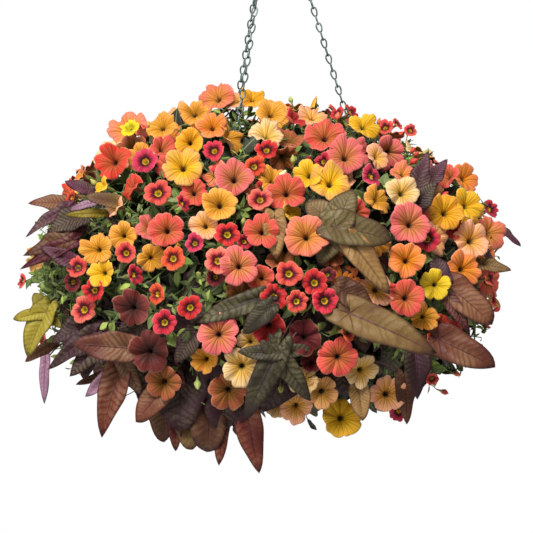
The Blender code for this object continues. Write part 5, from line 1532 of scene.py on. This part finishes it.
def bud_material():
    """Smooth young petal skin with faint lengthwise streaks."""
    n = Nodes("bud_skin", 0.55)
    streaks = n.noise(700, 3, distortion=1.0)
    colour = n.mix(n.math("MULTIPLY", streaks, 0.3), n.layer("bud_colour"), paint("fff0d8"), "SOFT_LIGHT")
    n.bump(streaks, 0.4, 0.0004)
    return n.finish(colour, n.math("MULTIPLY_ADD", streaks, 0.2, 0.45))


BUD_SKIN = bud_material()
BUD_FACES = tube_faces(STALK_ROWS, BUD_SIDES)
BUD_MAP = wrap_map(BUD_FACES, BUD_SIDES, STALK_ROWS)
every_other = np.arange(len(bud_tips)) % 2 == 0
bud_owners = np.where(every_other, nearest_shoots("petunia_shoot", bud_tips),
                      nearest_shoots("calibrachoa_shoot", bud_tips))
add_stalks(bud_owners, bud_paths[:, 0], bud_ways, np.full(len(bud_tips), 0.0006), STEM_GREEN)
for owner in sorted(set(bud_owners)):
    mine = bud_owners == owner
    make_piece(f"{owner}_buds", bud_points[mine], BUD_FACES, BUD_SKIN,
               {"OFBake": (BUD_MAP, True)}, {"bud_colour": bud_colours[mine]})

# ---- Stems and stalks --------------------------------------------------------------------------
# Each shoot's main stem, side shoots and flower stalks, round and finely hairy. They carry all
# that grows on the shoot, and vines and their leaf stalks are purple.

STALK_SIDES = 6
STALK_FACES = tube_faces(STALK_ROWS, STALK_SIDES)
STALK_MAP = wrap_map(STALK_FACES, STALK_SIDES, STALK_ROWS)


def stem_material():
    """Green or purple skin, browner in streaks, with a fine uneven surface."""
    n = Nodes("stem_skin", 0.6)
    streaks = n.noise(350, 4)
    colour = n.mix(n.math("MULTIPLY", streaks, 0.5), n.layer("stem_colour"), paint("4a3f26"))
    n.bump(streaks, 0.5, 0.0005)
    return n.finish(colour, n.math("MULTIPLY_ADD", streaks, 0.25, 0.45))


STEM_SKIN = stem_material()
for owner, stem in main_stems.items():
    colour = paint("5a3340")[:3] if owner.startswith("sweet") else paint("66793f")[:3]
    picked = stem[np.linspace(0, STEM_ROWS - 1, STALK_ROWS).round().astype(int)]
    own = [(picked, np.linspace(0.0022, 0.0013, STALK_ROWS), colour)] + stalks[owner]
    paths, girths, colours = zip(*own)
    points = tube_points(paths, girths, STALK_SIDES, hint=(0.22, 0.31, 0.92))
    piece = make_piece(f"{owner}_stems", points, STALK_FACES, STEM_SKIN,
                       {"OFBake": (STALK_MAP, True)}, {"stem_colour": np.array(colours)})
    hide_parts(owner)

# ---- Floor and light ---------------------------------------------------------------------------
# A plain pale floor well below the basket, one broad soft light above the front and a weaker one
# from the left, in a white room.

FLOOR_LEVEL = -2.1
floor_corners = [(across, away, FLOOR_LEVEL) for across, away in ((-3, -3), (3, -3), (3, 3), (-3, 3))]
floor_mesh = bpy.data.meshes.new("studio_floor")
floor_mesh.from_pydata(floor_corners, [], [(0, 1, 2, 3)])
floor = bpy.data.objects.new("studio_floor", floor_mesh)
bpy.context.collection.objects.link(floor)
floor_nodes = Nodes("pale_floor", 0.8)
floor_colour = floor_nodes.mix(floor_nodes.noise(3, 2), paint("e6e6e4"), paint("dededc"))
floor_mesh.materials.append(floor_nodes.finish(floor_colour))


def add_light(name, place, size, watts):
    lamp = bpy.data.lights.new(name, "AREA")
    lamp.size = size
    lamp.energy = watts
    holder = bpy.data.objects.new(name, lamp)
    bpy.context.collection.objects.link(holder)
    holder.location = place
    holder.rotation_euler = (Vector(MOUND_CENTRE) - Vector(place)).to_track_quat("-Z", "Y").to_euler()


add_light("soft_front_light", (-0.50, -1.80, 1.85), 1.2, 102)
add_light("soft_side_light", (-2.0, -1.9, 0.1), 1.6, 20)

room = bpy.data.worlds.new("white_room")
bpy.context.scene.world = room
room.use_nodes = True
tree = room.node_tree
seen = tree.nodes["Background"]
seen.inputs["Color"].default_value = (1, 1, 1, 1)
seen.inputs["Strength"].default_value = 1.0
shed = tree.nodes.new("ShaderNodeBackground")
shed.inputs["Color"].default_value = (1, 1, 1, 1)
shed.inputs["Strength"].default_value = 0.34
pick = tree.nodes.new("ShaderNodeMixShader")
tree.links.new(tree.nodes.new("ShaderNodeLightPath").outputs["Is Camera Ray"], pick.inputs[0])
tree.links.new(shed.outputs[0], pick.inputs[1])
tree.links.new(seen.outputs[0], pick.inputs[2])
tree.links.new(pick.outputs[0], tree.nodes["World Output"].inputs["Surface"])
bpy.context.scene.view_settings.view_transform = "Standard"
